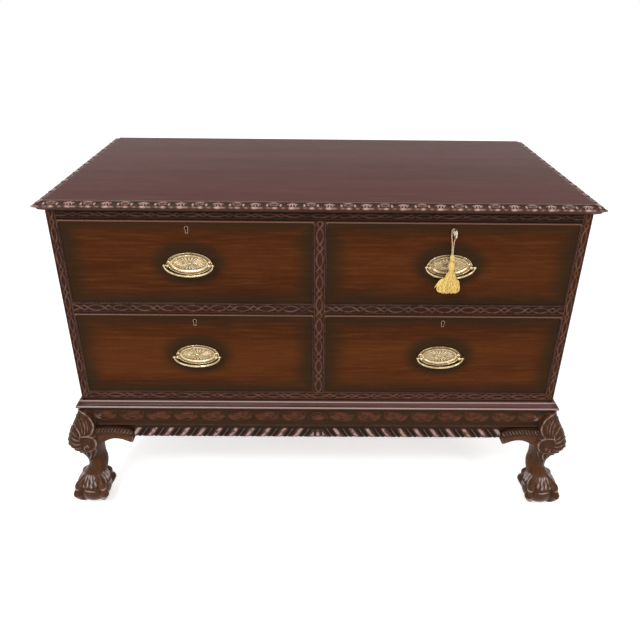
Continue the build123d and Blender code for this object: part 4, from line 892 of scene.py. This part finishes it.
# ---------------------------------------------------------------- frieze of running scrolls
SCROLL_PITCH, FRIEZE_DEPTH, FRIEZE_MIDDLE_Z = 69.5, 3.4, 271.0
FRIEZE_BOARD, CORNER_BOARD = 18.0, 4.2
BOSS_HALF_WIDTH, FIRST_SCROLL = 20, 26
# A scroll's parts, each with its height share. Leaves: middle, half-sizes and turn
SCROLL_LEAVES = (
    (1.0, (34, 2.5), (24, 11.5), 17),
    (0.9, (15, -5), (15, 9), -35),
    (0.85, (52, -5), (15, 8), 25),
)
# Lines: route, samples and half-widths
SCROLL_LINES = (
    (
        0.55,
        ((-6, 12.5), (3, 3), (14, -9.5), (30, -14.5), (46, -11), (58, -1.5), (62, 9.5), (54, 15), (45, 12.5)),
        34,
        (1.0, 2.4, 2.6, 2.2, 1.3),
    ),
    (0.6, ((45, 12.5), (42.5, 9.5), (45, 7.6)), 8, (1.7, 1.2)),
    (0.45, ((30, -14.5), (44, -17.2), (58, -14.2), (70, -6)), 14, (0.8, 1.5, 0.8)),
    (0.5, ((3, 3), (10, 10.5), (22, 14.5), (33, 14)), 14, (0.9, 1.6, 0.8)),
)
LEAF_VEIN = ((18, -5), (32, -1.5), (48, 5)), 12, (0.9, 0.9)
COLLAR = ((-25, -12), (-20, 3), (0, 12), (20, 3), (25, -12)), 20, (1.6, 1.6)


def highest(heights):
    return np.maximum.reduce(list(heights))


def scroll(along, up):
    """Height, 0 to 1, of one running scroll: a domed leaf in the hollow of a wave that curls over it."""
    body = highest(share * dome(along, up, *leaf) for share, *leaf in SCROLL_LEAVES)
    body = body - 0.5 * stroke(along, up, *LEAF_VEIN) * (body > 0.2)
    lines = [share * stroke(along, up, *line) for share, *line in SCROLL_LINES]
    return np.clip(highest([body, *lines]), 0, 1)


def scroll_frieze(along, up):
    """Scrolls that run from both ends towards the middle, where a half-round boss stands."""
    from_middle = np.abs(along)
    at = SCROLL_PITCH - np.mod(from_middle - FIRST_SCROLL, SCROLL_PITCH)
    rise = up - FRIEZE_MIDDLE_Z
    height = highest(scroll(at + shift, rise) for shift in (0, SCROLL_PITCH, -SCROLL_PITCH))
    height *= smooth_step(BOSS_HALF_WIDTH, BOSS_HALF_WIDTH + 7, from_middle)
    boss = dome(along, rise, (0, -4), (BOSS_HALF_WIDTH, 11))
    strip_up = up - GADROON_Z
    strip = (1 - smooth_step(2.6, 3.4, strip_up)) * (0.75 - 0.5 * np.exp(-(((strip_up - 1.6) / 0.5) ** 2)))
    height = highest([height, boss, stroke(along, rise, *COLLAR), strip])
    hammered = 0.05 * np.sin(along * 1.9) * np.sin(up * 2.1)
    height = np.clip(height + hammered * (height < 0.1), 0, 1)
    return (1 - height) * FRIEZE_DEPTH, height


def frieze(place, xs, out, thickness, flip):
    return carved_board(place, sorted(xs), (GADROON_Z, MOULDING_Z), out, thickness, scroll_frieze, flip=flip)


def frieze_rail(face, half_length):
    """A stand's rail: its carved board, and plain wood behind it, over it and behind the gadroon."""
    place, case_out = PLACES[face]
    out = case_out + FRIEZE_OUT
    back, board_back, along = out - RAIL_THICKNESS, out - FRIEZE_BOARD, (-half_length, half_length)
    parts = [frieze(place, along, out, FRIEZE_BOARD, face != "right")]
    for near, far, zs in (
        (back, board_back, (GADROON_Z, STAND_TOP_Z)),
        (board_back, case_out - MOULDING_SEAT, (MOULDING_Z, STAND_TOP_Z)),
        (back, case_out, (APRON_Z, GADROON_Z)),
    ):
        if face == "front":
            parts.append(plain_box(along, (-near, -far), zs))
        else:
            parts.append(plain_box((SIDES[face] * near, SIDES[face] * far), along, zs))
    return parts


piece("front_frieze", frieze_rail("front", POST_INNER_X), FRIEZE_X, "stand_front_rail")
parts = frieze_rail("left", POST_INNER_Y) + frieze_rail("right", POST_INNER_Y)
piece("side_friezes", parts, FRIEZE_Y, "stand_side_rails")


# ---------------------------------------------------------------- mouldings that go round the front corners
def wrapped(ring, back_y, front_steps, side_steps, shape):
    """Front and side lengths of a moulding, mitred at the front corners.

    ring holds each point's distance out from the case face, and height; shape(along, out, up) gives these as
    carved, and the relief.
    """
    ring_out, ring_up = np.array(ring, float).T
    parts = []
    for face, (place, case_out) in PLACES.items():
        if face == "front":
            along = np.linspace(-1, 1, front_steps)[:, None] * (CASE_HALF_WIDTH + ring_out)
        else:
            reach = CASE_HALF_DEPTH + ring_out
            along = np.linspace(0, 1, side_steps)[:, None] * (back_y + reach) - reach
        out, up, relief = shape(along, ring_out + 0 * along, ring_up + 0 * along)
        parts.append(loft(place(along, up, case_out + out), relief, face != "left"))
    return parts


# The stand's moulding: distance out from the case face, and height
MOULDING_CURVE = (
    (-6, 296),
    (9.4, 296),
    (12.4, 296.9),
    (14.4, 298.4),
    (15.3, 300.2),
    (15.5, 302.0),
    (15.1, 303.6),
    (14.0, 304.8),
    (12.2, 305.5),
    (10.0, 306.5),
    (8.2, 308.0),
    (7.0, 310.0),
    (6.3, 312.2),
    (6.1, 313.8),
    (6.6, 314.6),
    (6.4, 315.6),
    (5.2, 316.4),
    (2.6, 316.9),
    (0.0, 317.0),
    (-6, 317.0),
)
# Painted highlights: within ARRIS_REACH of these arrises the relief is 1, so a pale line is painted along
# each.
ARRISES, ARRIS_REACH = ((15.0, 303.2), (6.4, 315.2)), 1.7


def arris_relief(along, out, up):
    near = np.minimum.reduce([np.hypot(out - arris_out, up - arris_up) for arris_out, arris_up in ARRISES])
    return out, up, np.where(near < ARRIS_REACH, 1.0, 0.5)


parts = wrapped(respaced(MOULDING_CURVE, step=0.7)[0], FRONT_OUT, 60, 30, arris_relief)
piece("stand_moulding_run", parts, MOULDED, "stand_moulding")
base_zs = (BASE_FRET_Z[0], STAND_TOP_Z)
parts = [rail((-CASE_HALF_WIDTH, CASE_HALF_WIDTH), base_zs, MOULDING_SEAT, BASE_FRET_Z)]
for side in SIDES.values():
    xs = side * CASE_HALF_WIDTH, side * (CASE_HALF_WIDTH - MOULDING_SEAT)
    parts.append(plain_box(xs, (2 - CASE_HALF_DEPTH, FRONT_OUT), base_zs))
piece("stand_moulding_fret", parts, FRET_X, "stand_moulding")

# ---------------------------------------------------------------- gadroon
GADROON_PITCH, GADROON_CUT, GADROON_SLANT, GADROON_ROOT = 42.0, 4.6, 0.85, 6.5
BRACKET_LENGTH, LOBES_Z, COVE_Z, LEAF_HALF_WIDTH = 82.0, 232.0, 236.0, 12
# Above the lobes, a fillet and a cove: height, distance out, relief
GADROON_BAND = (
    (GADROON_Z, 7.6, 0.5),
    (GADROON_Z - 1, 8.0, 0.6),
    (COVE_Z + 0.6, 8.0, 0.6),
    (COVE_Z, 7.2, 0.3),
    (LOBES_Z + 1, 3.5, 0.0),
)


def lobes(along, up):
    """Height, 0 to 1, of slanting lobes, each a fat one and a thin ridge, from a leaf in the middle."""
    from_middle = np.abs(along)
    phase = np.mod(from_middle - 9 + (up - APRON_Z) * GADROON_SLANT, GADROON_PITCH) / GADROON_PITCH
    fat = np.sqrt(np.clip(1 - ((phase - 0.36) / 0.33) ** 2, 0, 1))
    thin = 0.94 * np.sqrt(np.clip(1 - ((phase - 0.86) / 0.105) ** 2, 0, 1))
    height = np.maximum(fat, thin)
    leaf = dome(from_middle, up, (0, LOBES_Z - 13), (LEAF_HALF_WIDTH, 20))
    beside_leaf = height * smooth_step(LEAF_HALF_WIDTH / 2, LEAF_HALF_WIDTH, from_middle)
    return np.where(from_middle < LEAF_HALF_WIDTH, np.maximum(leaf, beside_leaf), height)


def gadroon(face, half_length):
    along = np.linspace(-half_length, half_length, int(2 * half_length))[:, None]
    turn = np.linspace(0, 1, 34)
    up = LOBES_Z - turn * (LOBES_Z - APRON_Z)
    swell = np.sin(np.clip(turn * 1.12, 0, 1) ** 0.85 * pi * 0.72) ** 0.8
    belly = (GADROON_ROOT + (GADROON_OUT - GADROON_ROOT) * swell) * (1 - 0.38 * smooth_step(0.78, 1.0, turn))
    height = lobes(along, up)
    fade = smooth_step(0.0, 0.12, turn) * (1 - 0.5 * smooth_step(0.94, 1.0, turn))
    band_up, band_out, band_height = np.array(GADROON_BAND).T
    out = np.concatenate((band_out + 0 * along, belly - GADROON_CUT * (1 - height) * fade), 1)
    height = np.concatenate((band_height + 0 * along, height), 1)
    out = np.pad(np.maximum(out, 0.6), ((0, 0), (1, 1)))
    # Painted highlight: raising the relief to the eighth power keeps the pale crest colour to a narrow line
    # along each lobe's top.
    relief = np.pad(np.clip(1.03 * height, 0, 1) ** 8, ((0, 0), (1, 1)), mode="edge")
    up = np.concatenate(((GADROON_Z,), band_up, up, (APRON_Z,)))
    place, case_out = PLACES[face]
    return loft(place(along, up, case_out + out), relief, face == "left")


runs = {"front": POST_INNER_X, "left": POST_INNER_Y, "right": POST_INNER_Y}
parts = [gadroon(face, half_length - BRACKET_LENGTH) for face, half_length in runs.items()]
piece("gadroon_run", parts, LOBED_WOOD, "gadroon_edge")

# ---------------------------------------------------------------- top board
TOP_OVERHANG, TOP_BACK_Y, EDGE_BACKING = 21.0, 315.0, 24.0
PALMETTE_PITCH, FAN_AT, CARTOUCHE_AT, EDGE_CUT = 80.0, 20, 60, 2.3
FAN_RAYS = (-58, 12.5), (-31, 13.5), (0, 14.5), (31, 13.5), (58, 12.5)
# The carved edge from the polished top down to the underside: distance in from the tip, and height
TOP_EDGE_CURVE = (
    (20.0, 838.0),
    (19.2, 837.6),
    (18.6, 836.9),
    (14.0, 836.4),
    (9.0, 835.6),
    (5.5, 834.6),
    (3.0, 833.4),
    (1.2, 831.8),
    (0.3, 830.2),
    (0.6, 828.6),
    (1.8, 827.4),
    (3.2, 827.0),
    (5.2, 826.0),
    (7.4, 825.0),
    (8.6, 823.4),
    (9.6, 821.2),
    (12.5, 819.4),
    (17.5, 816.6),
    (19.0, 816.0),
)


def palmettes(along, inset):
    """Height, 0 to 1, of the edge's carving: fans between cartouches, and scallops along the nose."""
    at = np.mod(along, PALMETTE_PITCH)
    heights = []
    for angle, length in FAN_RAYS:
        aside, inward = sin(radians(angle)) * length, cos(radians(angle)) * length
        ray = (FAN_AT, 17), (FAN_AT + aside * 0.5, 17.5 - inward * 0.46), (FAN_AT + aside, 17.5 - inward)
        heights.append(stroke(at, inset, ray, 7, (0.8, 2.0, 2.3)))
    heights += [dome(at, inset, (beside, 8.5), (3.6, 8.5)) for beside in (45.5, 74.5)]
    panel = dome(at, inset, (CARTOUCHE_AT, 10.5), (10.5, 5.4))
    heights.append(0.85 * smooth_step(0.0, 0.5, panel) - 0.45 * smooth_step(0.55, 0.9, panel))
    heights.append(stroke(at, inset, ((49, 16.5), (55, 18.2), (65, 18.2), (71, 16.5)), 8, (0.9, 0.9)))
    # The nose keeps a high relief: it is cut little and painted with the pale crest colour, a painted
    # highlight line that is brightest under the fans and cartouches.
    under = np.exp(-(((at - FAN_AT) / 7) ** 2)) + 0.7 * np.exp(-(((at - CARTOUCHE_AT) / 5) ** 2))
    nose = np.clip(0.58 + 0.42 * under + 0.1 * np.cos(along * tau / (PALMETTE_PITCH / 5)), 0, 1)
    on_nose = 1 - smooth_step(2.0, 4.4, inset)
    return np.maximum(highest(heights) * (1 - on_nose), on_nose * nose)


edge_curve = respaced(TOP_EDGE_CURVE, step=0.9)[0]
edge_way = directions(edge_curve)
on_band = smooth_step(0, 1, 19.0 - edge_curve[:, 0]) * (edge_curve[:, 1] > 827.2)
# For each point of the edge's ring: its inset, the way into the wood, and how far it is carved. The two
# points of its backing, which aren't carved, come last.
edge_table = np.column_stack((edge_curve[:, 0], -edge_way[:, 1], edge_way[:, 0], on_band))
edge_table = np.pad(edge_table, ((0, 2), (0, 0)))


def edge_carving(along, out, up):
    inset, inward_out, inward_up, carved_share = edge_table.T
    relief = palmettes(along, np.broadcast_to(inset, along.shape))
    cut = EDGE_CUT * (1 - relief) * carved_share
    return out - cut * inward_out, up + cut * inward_up, np.where(carved_share > 0.3, relief, 0.5)


backing = TOP_OVERHANG - EDGE_BACKING
edge_ring = [(TOP_OVERHANG - inset, z) for inset, z in edge_curve] + [(backing, CASE_TOP_Z), (backing, TOP_Z)]
piece("top_edge", wrapped(edge_ring, TOP_BACK_Y, 1300, 660, edge_carving), EDGE_WOOD, "top_board")
panel_x, panel_front_y = CASE_HALF_WIDTH + backing, -(CASE_HALF_DEPTH + backing)
panel = plain_box((-panel_x, panel_x), (panel_front_y, TOP_BACK_Y), (CASE_TOP_Z, TOP_Z))
piece("top_panel", [panel], TOP_WOOD, "top_board", smooth=False)

# ---------------------------------------------------------------- knees
# A leg is made round the case's corner, with the ways out from its two faces as the first two axes.
# Rings: height, centre out from the corner in each of the two ways, half-size, squareness
KNEE_RINGS = (
    (74, 1.4, 24.0, 2.0),
    (94, -5.7, 24.6, 2.0),
    (119, -8.5, 25.6, 2.0),
    (144, -4.7, 28.2, 2.0),
    (156, -2.3, 30.8, 2.1),
    (169, 0.6, 34.5, 2.3),
    (184, 4.5, 39.4, 2.5),
    (199, 7.3, 42.0, 2.7),
    (213, 6.2, 40.8, 2.8),
    (229, 3.7, 38.0, 2.9),
    (246, -0.7, 34.0, 3.0),
    (262, -4.7, 30.0, 3.0),
    (278, -7.0, 26.3, 3.0),
    (288, -8.2, 23.5, 3.0),
    (296, -10.0, 22.0, 3.0),
)
KNEE_SLICES, KNEE_SPOKES, KNEE_DEPTH, LINE_SAMPLES = 280, 260, 3.0, 30
KNEE_EYE = (-10, 200), (5.5, 6.5)
# The carved lines, each with its height share: distance out from the corner along either face, and height;
# then half-widths. The first five are the shield's scrolls, and the others its leaves.
KNEE_LINES = (
    (1.0, ((11, 291), (4, 287), (-6, 281.5), (-17, 271), (-24, 256), (-24, 243), (-18, 232), (-8, 228.5)),
     (1.2, 2.2, 2.5, 2.4, 1.8)),
    (0.55, ((10, 283), (0, 277.5), (-11, 267), (-17.5, 254), (-17, 244), (-12, 237)), (0.7, 1.0, 0.8)),
    (0.8, ((-15, 229), (-22, 223), (-31, 225)), (2.2, 2.6, 1.0)),
    (1.0, ((25, 256), (18, 249), (11, 241), (7, 232), (9, 224)), (1.0, 2.2, 1.6)),
    (1.0, ((6, 228), (-6, 229), (-18, 226), (-26, 216), (-28, 202), (-23, 189), (-11, 182), (-2, 187),
           (-1, 197), (-6, 204), (-12, 203)), (1.6, 2.2, 2.2, 1.8, 1.2)),
    (0.75, ((2, 233), (3, 247), (8, 261), (14, 270)), (1.0, 2.6, 2.6, 0.9)),
    (0.85, ((-4, 234), (-5, 248), (-1, 263), (6, 274)), (1.0, 2.6, 2.6, 0.9)),
    (0.75, ((-10, 236), (-12, 248), (-9, 260), (-3, 269)), (1.0, 2.4, 2.4, 0.9)),
    (0.8, ((12, 226), (21, 231), (31, 238)), (1.2, 2.8, 1.2)),
    (0.85, ((9, 218), (21, 220), (34, 227)), (1.2, 3.0, 1.2)),
    (0.85, ((7, 209), (20, 208), (35, 212)), (1.2, 3.0, 1.2)),
    (0.8, ((6, 200), (18, 196), (34, 197)), (1.2, 3.0, 1.2)),
    (0.8, ((4, 191), (15, 184), (30, 182)), (1.2, 2.8, 1.2)),
    (0.75, ((1, 183), (9, 173), (22, 168)), (1.2, 2.6, 1.2)),
    (0.75, ((-3, 179), (2, 165), (11, 156)), (1.2, 2.4, 1.0)),
    (0.9, ((-11, 178), (-9, 164), (-4, 151), (1, 141), (2, 132)), (1.4, 2.4, 2.0, 0.8)),
    (0.8, ((-24, 186), (-22, 172), (-16, 158), (-9, 146)), (1.2, 2.0, 1.4, 0.8)),
)
# The inner edge of the shield above the ears: height, and distance out from the corner
SHIELD_EDGE = (
    (236, -26.5), (243, -27.5), (256, -27.5), (271, -20.5), (281.5, -9), (287, 1), (291, 8), (296, 10),
)
BEHIND_FRIEZE = 2.0


def knee():
    """The carved leg down to its foot, the same on both of its outer faces."""
    rings = bend(KNEE_RINGS, 600)
    height = np.linspace(KNEE_RINGS[0][0], KNEE_RINGS[-1][0], KNEE_SLICES)[:, None]
    centre, half, power = looked_up(height, rings[np.argsort(rings[:, 0])])
    turn = np.linspace(-0.75 * pi, 1.25 * pi, KNEE_SPOKES, endpoint=False)
    across, over = np.cos(turn), np.sin(turn)
    body = half * (np.abs(across) ** power + np.abs(over) ** power) ** (-1 / power)
    up = height + 0 * turn
    along = centre + body * np.minimum(across, over)
    facing_out = smooth_step(-34, -29, along) * smooth_step(0.0, 0.2, np.maximum(across, over))
    lines = [share * stroke(along, up, line, LINE_SAMPLES, widths) for share, line, widths in KNEE_LINES]
    carving = highest([0.8 * dome(along, up, *KNEE_EYE), *lines]) * facing_out
    body = body + KNEE_DEPTH * (carving - 0.45) * smooth_step(118, 136, up) * facing_out
    points = xyz(centre + body * across, centre + body * over, up)
    past_edge = smooth_step(0, 2.2, looked_up(height, SHIELD_EDGE)[0] - along) * smooth_step(236, 240, up)
    points[..., :2] += (np.minimum(points[..., :2], BEHIND_FRIEZE) - points[..., :2]) * past_edge[..., None]
    carved_share = facing_out * smooth_step(126, 140, up)
    # Painted highlights: a fine pattern of pale dots over the low parts of the carved faces, standing for
    # small glints; the surface itself stays smooth there.
    glint_stipple = (0.5 + 0.5 * np.sin(0.95 * along + 0.45 * up) * np.sin(0.85 * up - 0.3 * along)) ** 4
    glint_stipple *= 0.6 * (1 - smooth_step(0.35, 0.6, carving)) * carved_share
    return loft(points, np.clip(carving * 0.8 + 0.2 + 0.35 * (1 - carved_share) + glint_stipple, 0, 1))


# ---------------------------------------------------------------- feet
FOOT_VOXEL_M, SOFTENING = 0.0013, 2
FOOT_SHIFT, BALL_MIDDLE_Z, BALL_RADIUS = 7.8, 42.0, 44.5
# On a bearing of their own, distance out from the foot's middle and height; and radii along the line
TOE_ROUTE = (10, 94), (24, 82), (42, 64), (46.5, 51), (50, 38), (45, 24), (36, 13), (28, 6)
TOE_GIRTH = (6.0, 7.6, 11.2, 8.0, 12.2, 8.0, 6.0, 3.0)
WEB_ROUTE = (13, 106), (21, 92), (29, 80), (36, 70), (40.5, 60), (43, 52)
WEB_GIRTH = (1.5, 3.0, 3.6, 3.4, 2.6, 1.2)
WEB_TURNS = (-25, -9, 8, 24)
ANKLE_ROUTE, ANKLE_GIRTH = ((-15.5, -15.5, 112), (-13.5, -13.5, 98), (-8, -8, 84), (0, 0, 66)), (22.0, 27.5)
TENDON_PITCH, CLAW_PITCH = 16.5, 90


def remeshed(parts):
    """One skin over overlapping parts, as points in millimetres and faces."""
    mesh, _ = mesh_of("foot_rough", parts)
    rough = linked("foot_rough", mesh)
    skin = rough.modifiers.new("skin", "REMESH")
    skin.mode = "VOXEL"
    skin.voxel_size = FOOT_VOXEL_M
    soften = rough.modifiers.new("soften", "SMOOTH")
    soften.factor = 0.5
    soften.iterations = SOFTENING
    bpy.context.view_layer.update()
    made = bpy.data.meshes.new_from_object(rough.evaluated_get(bpy.context.evaluated_depsgraph_get()))
    points = np.array([v.co for v in made.vertices]) / MM
    faces = [list(face.vertices) for face in made.polygons]
    bpy.data.objects.remove(rough)
    bpy.data.meshes.remove(made)
    return points, faces


def on_foot(route, girth, heading, samples, ring):
    """A tube down the foot on one bearing, drawn back towards the ankle above the ball."""
    out, up = bend(route, samples).T
    lift = np.clip((up - 60) / 60, 0, 1) * -14.0
    line = xyz(out * cos(radians(heading)) + lift, out * sin(radians(heading)) + lift, up)
    return tube(line, tapered(girth, samples), ring)


def shine(points, raised):
    """Painted highlights on the foot: along the tendons above the ball, across it low down, and on the
    knuckles.
    """
    x, y, up = points.T
    aside = np.mod(np.degrees(np.arctan2(y, x)) + CLAW_PITCH / 2, CLAW_PITCH) - CLAW_PITCH / 2
    streak = 0.35 + 0.65 * (0.5 + 0.5 * np.cos(radians(360 / TENDON_PITCH) * (aside - 8)))
    streak = streak * (0.85 + 0.15 * np.sin(up * 0.4 + aside * 0.2))
    band = smooth_step(58, 64, up) * (1 - smooth_step(84, 92, up))
    low = 0.9 * np.exp(-(((up - 52 + aside * 0.12) / 2.2) ** 2)) * np.exp(-((aside / 20) ** 4))
    knuckle = smooth_step(0.55, 0.95, raised) * np.exp(-((np.mod(up - 44, 24) - 12) ** 2) / 9)
    return highest([streak * band * np.exp(-((aside / 33) ** 6)), low, 0.7 * knuckle * (up < 72)])


def foot():
    latitude, turns = np.linspace(0.05, pi - 0.05, 40)[:, None], circle(64)
    ring, up = BALL_RADIUS * np.sin(latitude), BALL_MIDDLE_Z - BALL_RADIUS * np.cos(latitude)
    parts = [loft(xyz(ring * np.cos(turns), ring * np.sin(turns), up))]
    parts.append(tube(bend(ANKLE_ROUTE, 12), tapered(ANKLE_GIRTH, 12), 32))
    for heading in range(0, 360, CLAW_PITCH):
        parts.append(on_foot(TOE_ROUTE, TOE_GIRTH, heading + CLAW_PITCH / 2, 60, 20))
        parts += [on_foot(WEB_ROUTE, WEB_GIRTH, heading + turn, 24, 12) for turn in WEB_TURNS]
    points, faces = remeshed(parts)
    points[:, 2] = np.maximum(points[:, 2], 0)
    up = points[:, 2]
    radial = np.sqrt(np.hypot(points[:, 0], points[:, 1]) ** 2 + (up - BALL_MIDDLE_Z) ** 2)
    raised = (radial - BALL_RADIUS) / np.interp(up, (40, 66, 90), (14, 9, 5))
    relief = np.where(radial < BALL_RADIUS + 0.8, 0.5, np.clip(0.1 + 0.9 * raised, 0, 0.62))
    relief = relief + (0.5 - relief) * smooth_step(88, 98, up)
    relief = relief + (1 - relief) * shine(points, raised)
    return points + (FOOT_SHIFT, FOOT_SHIFT, 0), faces, relief


# ---------------------------------------------------------------- ears beside the knees
# Distance along from the post, and height over the apron's edge or distance out from the case
EAR_TOP = (-24, 35), (0, 34), (30, 33), (50, 30), (68, 25.5), (78, 19), (81, 12), (82, 6)
EAR_FOOT = (
    (-24, -34), (-12, -26), (0, -16), (8, -9.5), (26, -4), (46, -7), (60, -14), (68, -17.5), (73, -17),
    (79, -5), (82, 4),
)
EAR_OUT = (-24, 30.0), (-8, 26.0), (10, 22.8), (40, 19.5), (70, 18.0), (78, 15.5), (82, 9.0)
EAR_SCROLL = ((60, 20), (72, 12), (75, -2), (69, -12), (62, -8), (64, -2)), 20, (1.4, 2.0, 1.6)
EAR_BEAD = ((-22, 16), (20, 14.5), (50, 13), (72, 10)), 26, (1.3, 1.3)
EAR_RIBS, EAR_BAND, EAR_CUT, EAR_BACK = range(-20, 72, 8), 17, 1.9, -13.5


def ear(place, flip):
    """One ear beside a knee, in the frame of a place(along, up, out) function."""
    along = np.concatenate((np.linspace(-24, 76, 120), np.linspace(76.6, 82, 12)))[:, None]
    (top,), (low,), (reach,) = (looked_up(along, line) for line in (EAR_TOP, bend(EAR_FOOT, 200), EAR_OUT))
    share = np.linspace(0, 1, 46)
    up = low + (top - low) * share
    below, along = top - up, along + 0 * share
    ribs = [((at, 13), (at + 5, 8), (at + 8, 2.5)) for at in EAR_RIBS]
    ribs = highest(stroke(along, below, rib, 8, (1.0, 2.3, 1.6)) for rib in ribs)
    band = np.maximum(0.95 * ribs, 0.8 * stroke(along, below, *EAR_BEAD))
    field = np.maximum(stroke(along, up, *EAR_SCROLL), 0.75 * smooth_step(EAR_BAND, EAR_BAND + 3, below))
    carving = np.where(below < EAR_BAND, band, field)
    fade = smooth_step(0, 0.08, share) * (1 - smooth_step(0.95, 1, share))
    rounding = np.sqrt(np.clip(1 - (2 * np.abs(share - 0.5)) ** 6, 0, 1))
    out = reach * (0.4 + 0.6 * rounding) - EAR_CUT * (1 - carving) * fade
    out = np.pad(out, ((0, 0), (1, 1)), constant_values=EAR_BACK)
    along, up, relief = (np.pad(grid, ((0, 0), (1, 1)), mode="edge") for grid in (along, up, carving))
    return loft(place(along, APRON_Z + up, out), relief, flip)


# ---------------------------------------------------------------- legs
POST_SET_BACK = 4.0
LEG_PARTS = knee(), foot()
ears = []
for depth_name, sy in {"front": -1, "back": 1}.items():
    for side_name, sx in SIDES.items():
        name, turned_over = f"{depth_name}_{side_name}_leg", sx * sy < 0
        corner = (sx * CASE_HALF_WIDTH, sy * CASE_HALF_DEPTH, 0)
        leg, claw = (
            (verts * (sx, sy, 1) + corner, mirrored(faces) if turned_over else faces, relief)
            for verts, faces, relief in LEG_PARTS
        )
        parts = [leg]
        for inset_x, inset_y, zs in (
            (SIDE_OUT - POST_SET_BACK, FRONT_OUT - POST_SET_BACK, (APRON_Z, MOULDING_Z)),
            (CASE_HALF_WIDTH - MOULDING_SEAT, CASE_HALF_DEPTH - MOULDING_SEAT, (MOULDING_Z, STAND_TOP_Z)),
        ):
            parts.append(plain_box((sx * POST_INNER_X, sx * inset_x), (sy * POST_INNER_Y, sy * inset_y), zs))
        xs, ys = (sx * POST_INNER_X, sx * SIDE_OUT), (sy * POST_INNER_Y, sy * FRONT_OUT)
        if sy < 0:
            parts.append(frieze(front_place, xs, FRONT_OUT, CORNER_BOARD, True))
        parts.append(frieze(side_place(sx), ys, SIDE_OUT, CORNER_BOARD, sx < 0))
        piece(f"{name}_carving", parts, LEG_WOOD, name)
        piece(f"{name}_foot", [claw], FOOT_WOOD, name)

        def beside(along, up, out, sx=sx, sy=sy):
            return xyz(sx * (CASE_HALF_WIDTH + out), sy * (POST_INNER_Y - along), up)

        def before(along, up, out, sx=sx):
            return xyz(sx * (POST_INNER_X - along), -(CASE_HALF_DEPTH + out), up)

        ears.append(ear(beside, turned_over))
        if sy < 0:
            ears.append(ear(before, sx < 0))
piece("knee_ears", ears, EAR_WOOD, "knee_brackets")
